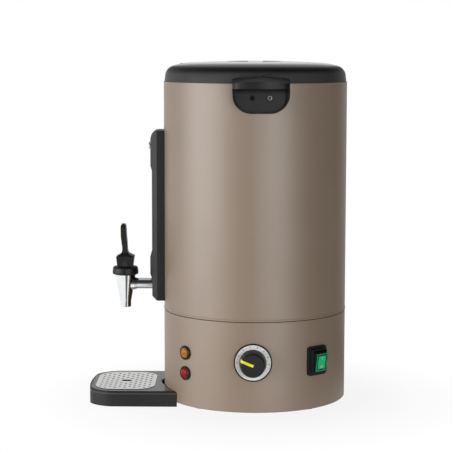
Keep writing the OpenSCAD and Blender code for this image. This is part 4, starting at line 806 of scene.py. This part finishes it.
def on_rocker(piece):
    """Lays a piece made flat on the rocker's front, which stands 9 mm off its tilted axis."""
    tilt, axis_out, front_off = math.radians(8), 0.123, 0.009
    piece.matrix_world = Matrix.Translation((0, 0, axis_out)) @ Matrix.Rotation(tilt, 4, "X") \
        @ Matrix.Translation((0, 0, front_off))
    return on_side(settle(piece), switch_turn, 0, switch_z)


def round_corners(piece, radius):
    finish_modifier(piece, "BEVEL", width=radius / 1000, segments=5, affect="EDGES",
                    limit_method="ANGLE")


window = block("rocker_window", (12.6, 17.6, 0.9))
round_corners(window, 1.2)
eased(on_rocker(window), 0.15, 2)
green, shade, point = new_finish("lit_green_plastic")
cells = shade.node("ShaderNodeTexVoronoi", {"feature": "F1"}, {"Vector": point, "Scale": 900.0})
cloud = grain_of(point, 6, 2.0).between(0.3, 0.7)
speckle = cells.between(0.0, 0.8) * 0.35 + cloud * 0.45
close_finish(shade, {
    "Base Color": speckle.mix(ink(52, 214, 138), ink(34, 184, 112)),
    "Roughness": cloud * 0.06 + 0.24,
    "Specular IOR Level": 0.25,
    "Subsurface Weight": 0.2,
    "Normal": relief(cells, 0.02, 0.2)})
dress(window, green)
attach(window, "power_rocker")
border = block("rocker_border", (18.4, 23.2, 0.36))
round_corners(border, 1.6)
cut_by(border, block("border_opening", (15.6, 20.4, 2)))
eased(on_rocker(border), 0.1, 2)
mid_green = clouded("mid_green_plastic", (34, 140, 94), (52, 162, 114), 4, 0.26, 0.08,
                    bump=(None, 0.02, 0.3), constants={"Subsurface Weight": 0.1})
dress(border, mid_green)
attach(border, "power_rocker")
white_print = clouded("white_print", (214, 232, 222), (240, 247, 243), 0.4, 0.4, 0.1, 3.0)
bar = block("rocker_on_mark", (0.75, 3.4, 0.12), (0, 0.0056, 0.0004))
ring_mark = turned("rocker_off_mark", [(1.05, 0.34), (1.65, 0.34), (1.65, 0.46), (1.05, 0.46)], 40)
ring_mark.location = (0, -0.0058, 0)
for mark in (bar, settle(ring_mark)):
    eased(on_rocker(mark), 0.04, 1)
    dress(mark, white_print)
    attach(mark, "power_rocker")


# ---- drip tray ----
# A black moulded tray that lies against the base's front. The flat of its top is glossy, its
# rounded rim is dull, and a thin band round under the rim is painted lighter grey, a painted
# highlight along the edge's rounding.
tray_black, shade, point = new_finish("tray_black_plastic")
side_straight, front_straight = 0.0285, 0.183
rim_inner, rim_outer = 0.0338, 0.035
lip_foot, lip_top, lip_fade = 0.0158, 0.0178, 0.001
level = shade.node("ShaderNodeTexCoord", {}, {}, "Normal").along("Z").between(0.93, 0.995)
height = point.along("Z")
across = shade.maths("MAXIMUM", shade.maths("ABSOLUTE", point.along("X")) - side_straight, 0)
ahead = shade.maths("MAXIMUM", -front_straight - point.along("Y"), 0)
rim_band = shade.maths("SQRT", across * across + ahead * ahead).between(rim_inner, rim_outer)
under_top = 1 - height.between(lip_top, lip_top + lip_fade)
# painted highlight: a thin lighter grey band round the tray just under the rim
painted_lip_highlight = height.between(lip_foot, lip_foot + lip_fade) * under_top * rim_band
grain = grain_of(point, 0.8, 3.0, 0.65)
plain = grain_of(point, 35, 1.0).between(0.3, 0.7).mix(ink(22, 22, 23), ink(27, 27, 28))
close_finish(shade, {
    "Base Color": (painted_lip_highlight * 0.9).mix(plain, ink(66, 66, 67)),
    "Roughness": grain.between(0.25, 0.75) * 0.1 + 0.36,
    "Specular IOR Level": 0.3,
    "Coat Weight": level * (1 - rim_band) * 0.7,
    "Coat Roughness": 0.2,
    "Normal": relief(grain, 0.008, 0.8)})
basin = carved("drip_tray", "tray_moulding", 0.6, 2, 50)
dress(basin, tray_black)
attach(basin, "tray")
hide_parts("drip_tray")


# ---- drip grille ----
# A pressed stainless plate in the tray's recess, with staggered round holes and a finger slot
# in its middle. Its upward faces are polished along the tray; its other faces, the hole walls and
# cut edges, are dark grey and not metallic.
grille_steel, shade, point = new_finish("grille_stainless")
faces = shade.node("ShaderNodeTexCoord", {}, {}, "Normal").along("Z").between(0.5, 0.9)
marks = shade.node("ShaderNodeTexNoise", {}, {
    "Vector": point.vector("MULTIPLY", (60, 1500, 1500)), "Scale": 1.0, "Detail": 4.0,
    "Roughness": 0.6}).between(0.3, 0.7)
close_finish(shade, {
    "Base Color": faces.mix(ink(44, 44, 45), marks.mix(ink(242, 242, 241), ink(252, 252, 251))),
    "Metallic": faces * 0.72,
    "Roughness": marks * 0.08 + 0.1,
    "Specular IOR Level": 0.2})
dress_nodes(grille_steel, "drip_grille")


# ---- underside ----
# A slotted zinc plated plate closes the base, and four rubber feet are screwed through it. The
# deck and the tank's stand inside are made of the same sheet.
plate_steel = sheet_metal("zinc_plated_sheet", ink(190, 193, 197), 0.32, (900, 40, 900))
dress_nodes(plate_steel, "base_plate", "deck_plate", "tank_stand")
rubber, shade, point = new_finish("foot_rubber")
dust = grain_of(point, 3, 4.0, 0.7).between(0.45, 0.75)
close_finish(shade, {
    "Base Color": (dust * 0.5).mix(ink(30, 30, 30), ink(62, 60, 57)),
    "Roughness": dust * 0.15 + 0.72,
    "Normal": relief(grain_of(point, 0.5, 3.0), 0.04, 0.7)})
dress_nodes(rubber, "feet")


# ---- cord gland and reset button ----
# On the side away from the tap: a black nylon gland with its cap nut for the mains lead, and
# the red button of the safety cut-out.
for name, edge in (("cord_gland", 0.3), ("gland_nuts", 0.5)):
    fitting = carved(name, name + "_nylon", edge, 2, 30)
    dress(fitting, satin_black)
    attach(fitting, "urn")
    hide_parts(name)
button_red = clouded("reset_red", (176, 20, 18), (200, 32, 26), 2, 0.28, 0.1)
dress_nodes(button_red, "reset_button")


# ---- heating and wiring ----
# Inside: the element under its aluminium plate, the thermostat and the cut-out in ivory
# bakelite, the terminal block, silicone sleeved wires and the felt jacket round the tank.
aluminium = sheet_metal("rolled_aluminium", ink(198, 200, 203), 0.34, (40, 1100, 1100))
dress_nodes(aluminium, "heat_plate")
element_steel = sheet_metal("annealed_element_steel", ink(122, 118, 114), 0.42,
                            (300, 300, 300), 0.02)
dress_nodes(element_steel, "heating_element")
bakelite = clouded("ivory_bakelite", (214, 208, 192), (232, 227, 214), 4, 0.45, 0.15, 4.0, 0.7,
                   bump=(None, 0.02, 0.4))
dress_nodes(bakelite, "thermostat_body", "limiter_body", "terminal_block")
sleeve, shade, point = new_finish("wire_sleeve")
braid = shade.node("ShaderNodeTexVoronoi", {"feature": "F1"}, {"Vector": point, "Scale": 1600.0})
close_finish(shade, {
    "Base Color": braid.between(0.0, 0.8).mix(ink(64, 110, 186), ink(36, 72, 142)),
    "Roughness": braid * 0.2 + 0.5,
    "Normal": relief(braid, 0.05, 0.5)})
dress_nodes(sleeve, "wiring")
felt, shade, point = new_finish("mineral_felt")
fibre = grain_of(point, 1.6, 6.0, 0.75)
tuft = grain_of(point, 14, 3.0)
wool = (fibre * 0.6 + tuft * 0.4).between(0.3, 0.7)
close_finish(shade, {
    "Base Color": wool.mix(ink(206, 202, 188), ink(236, 233, 222)),
    "Roughness": fibre * 0.1 + 0.88,
    "Sheen Weight": 0.3,
    "Normal": relief(fibre + tuft, 0.6, 0.7)})
dress_nodes(felt, "insulation_jacket")
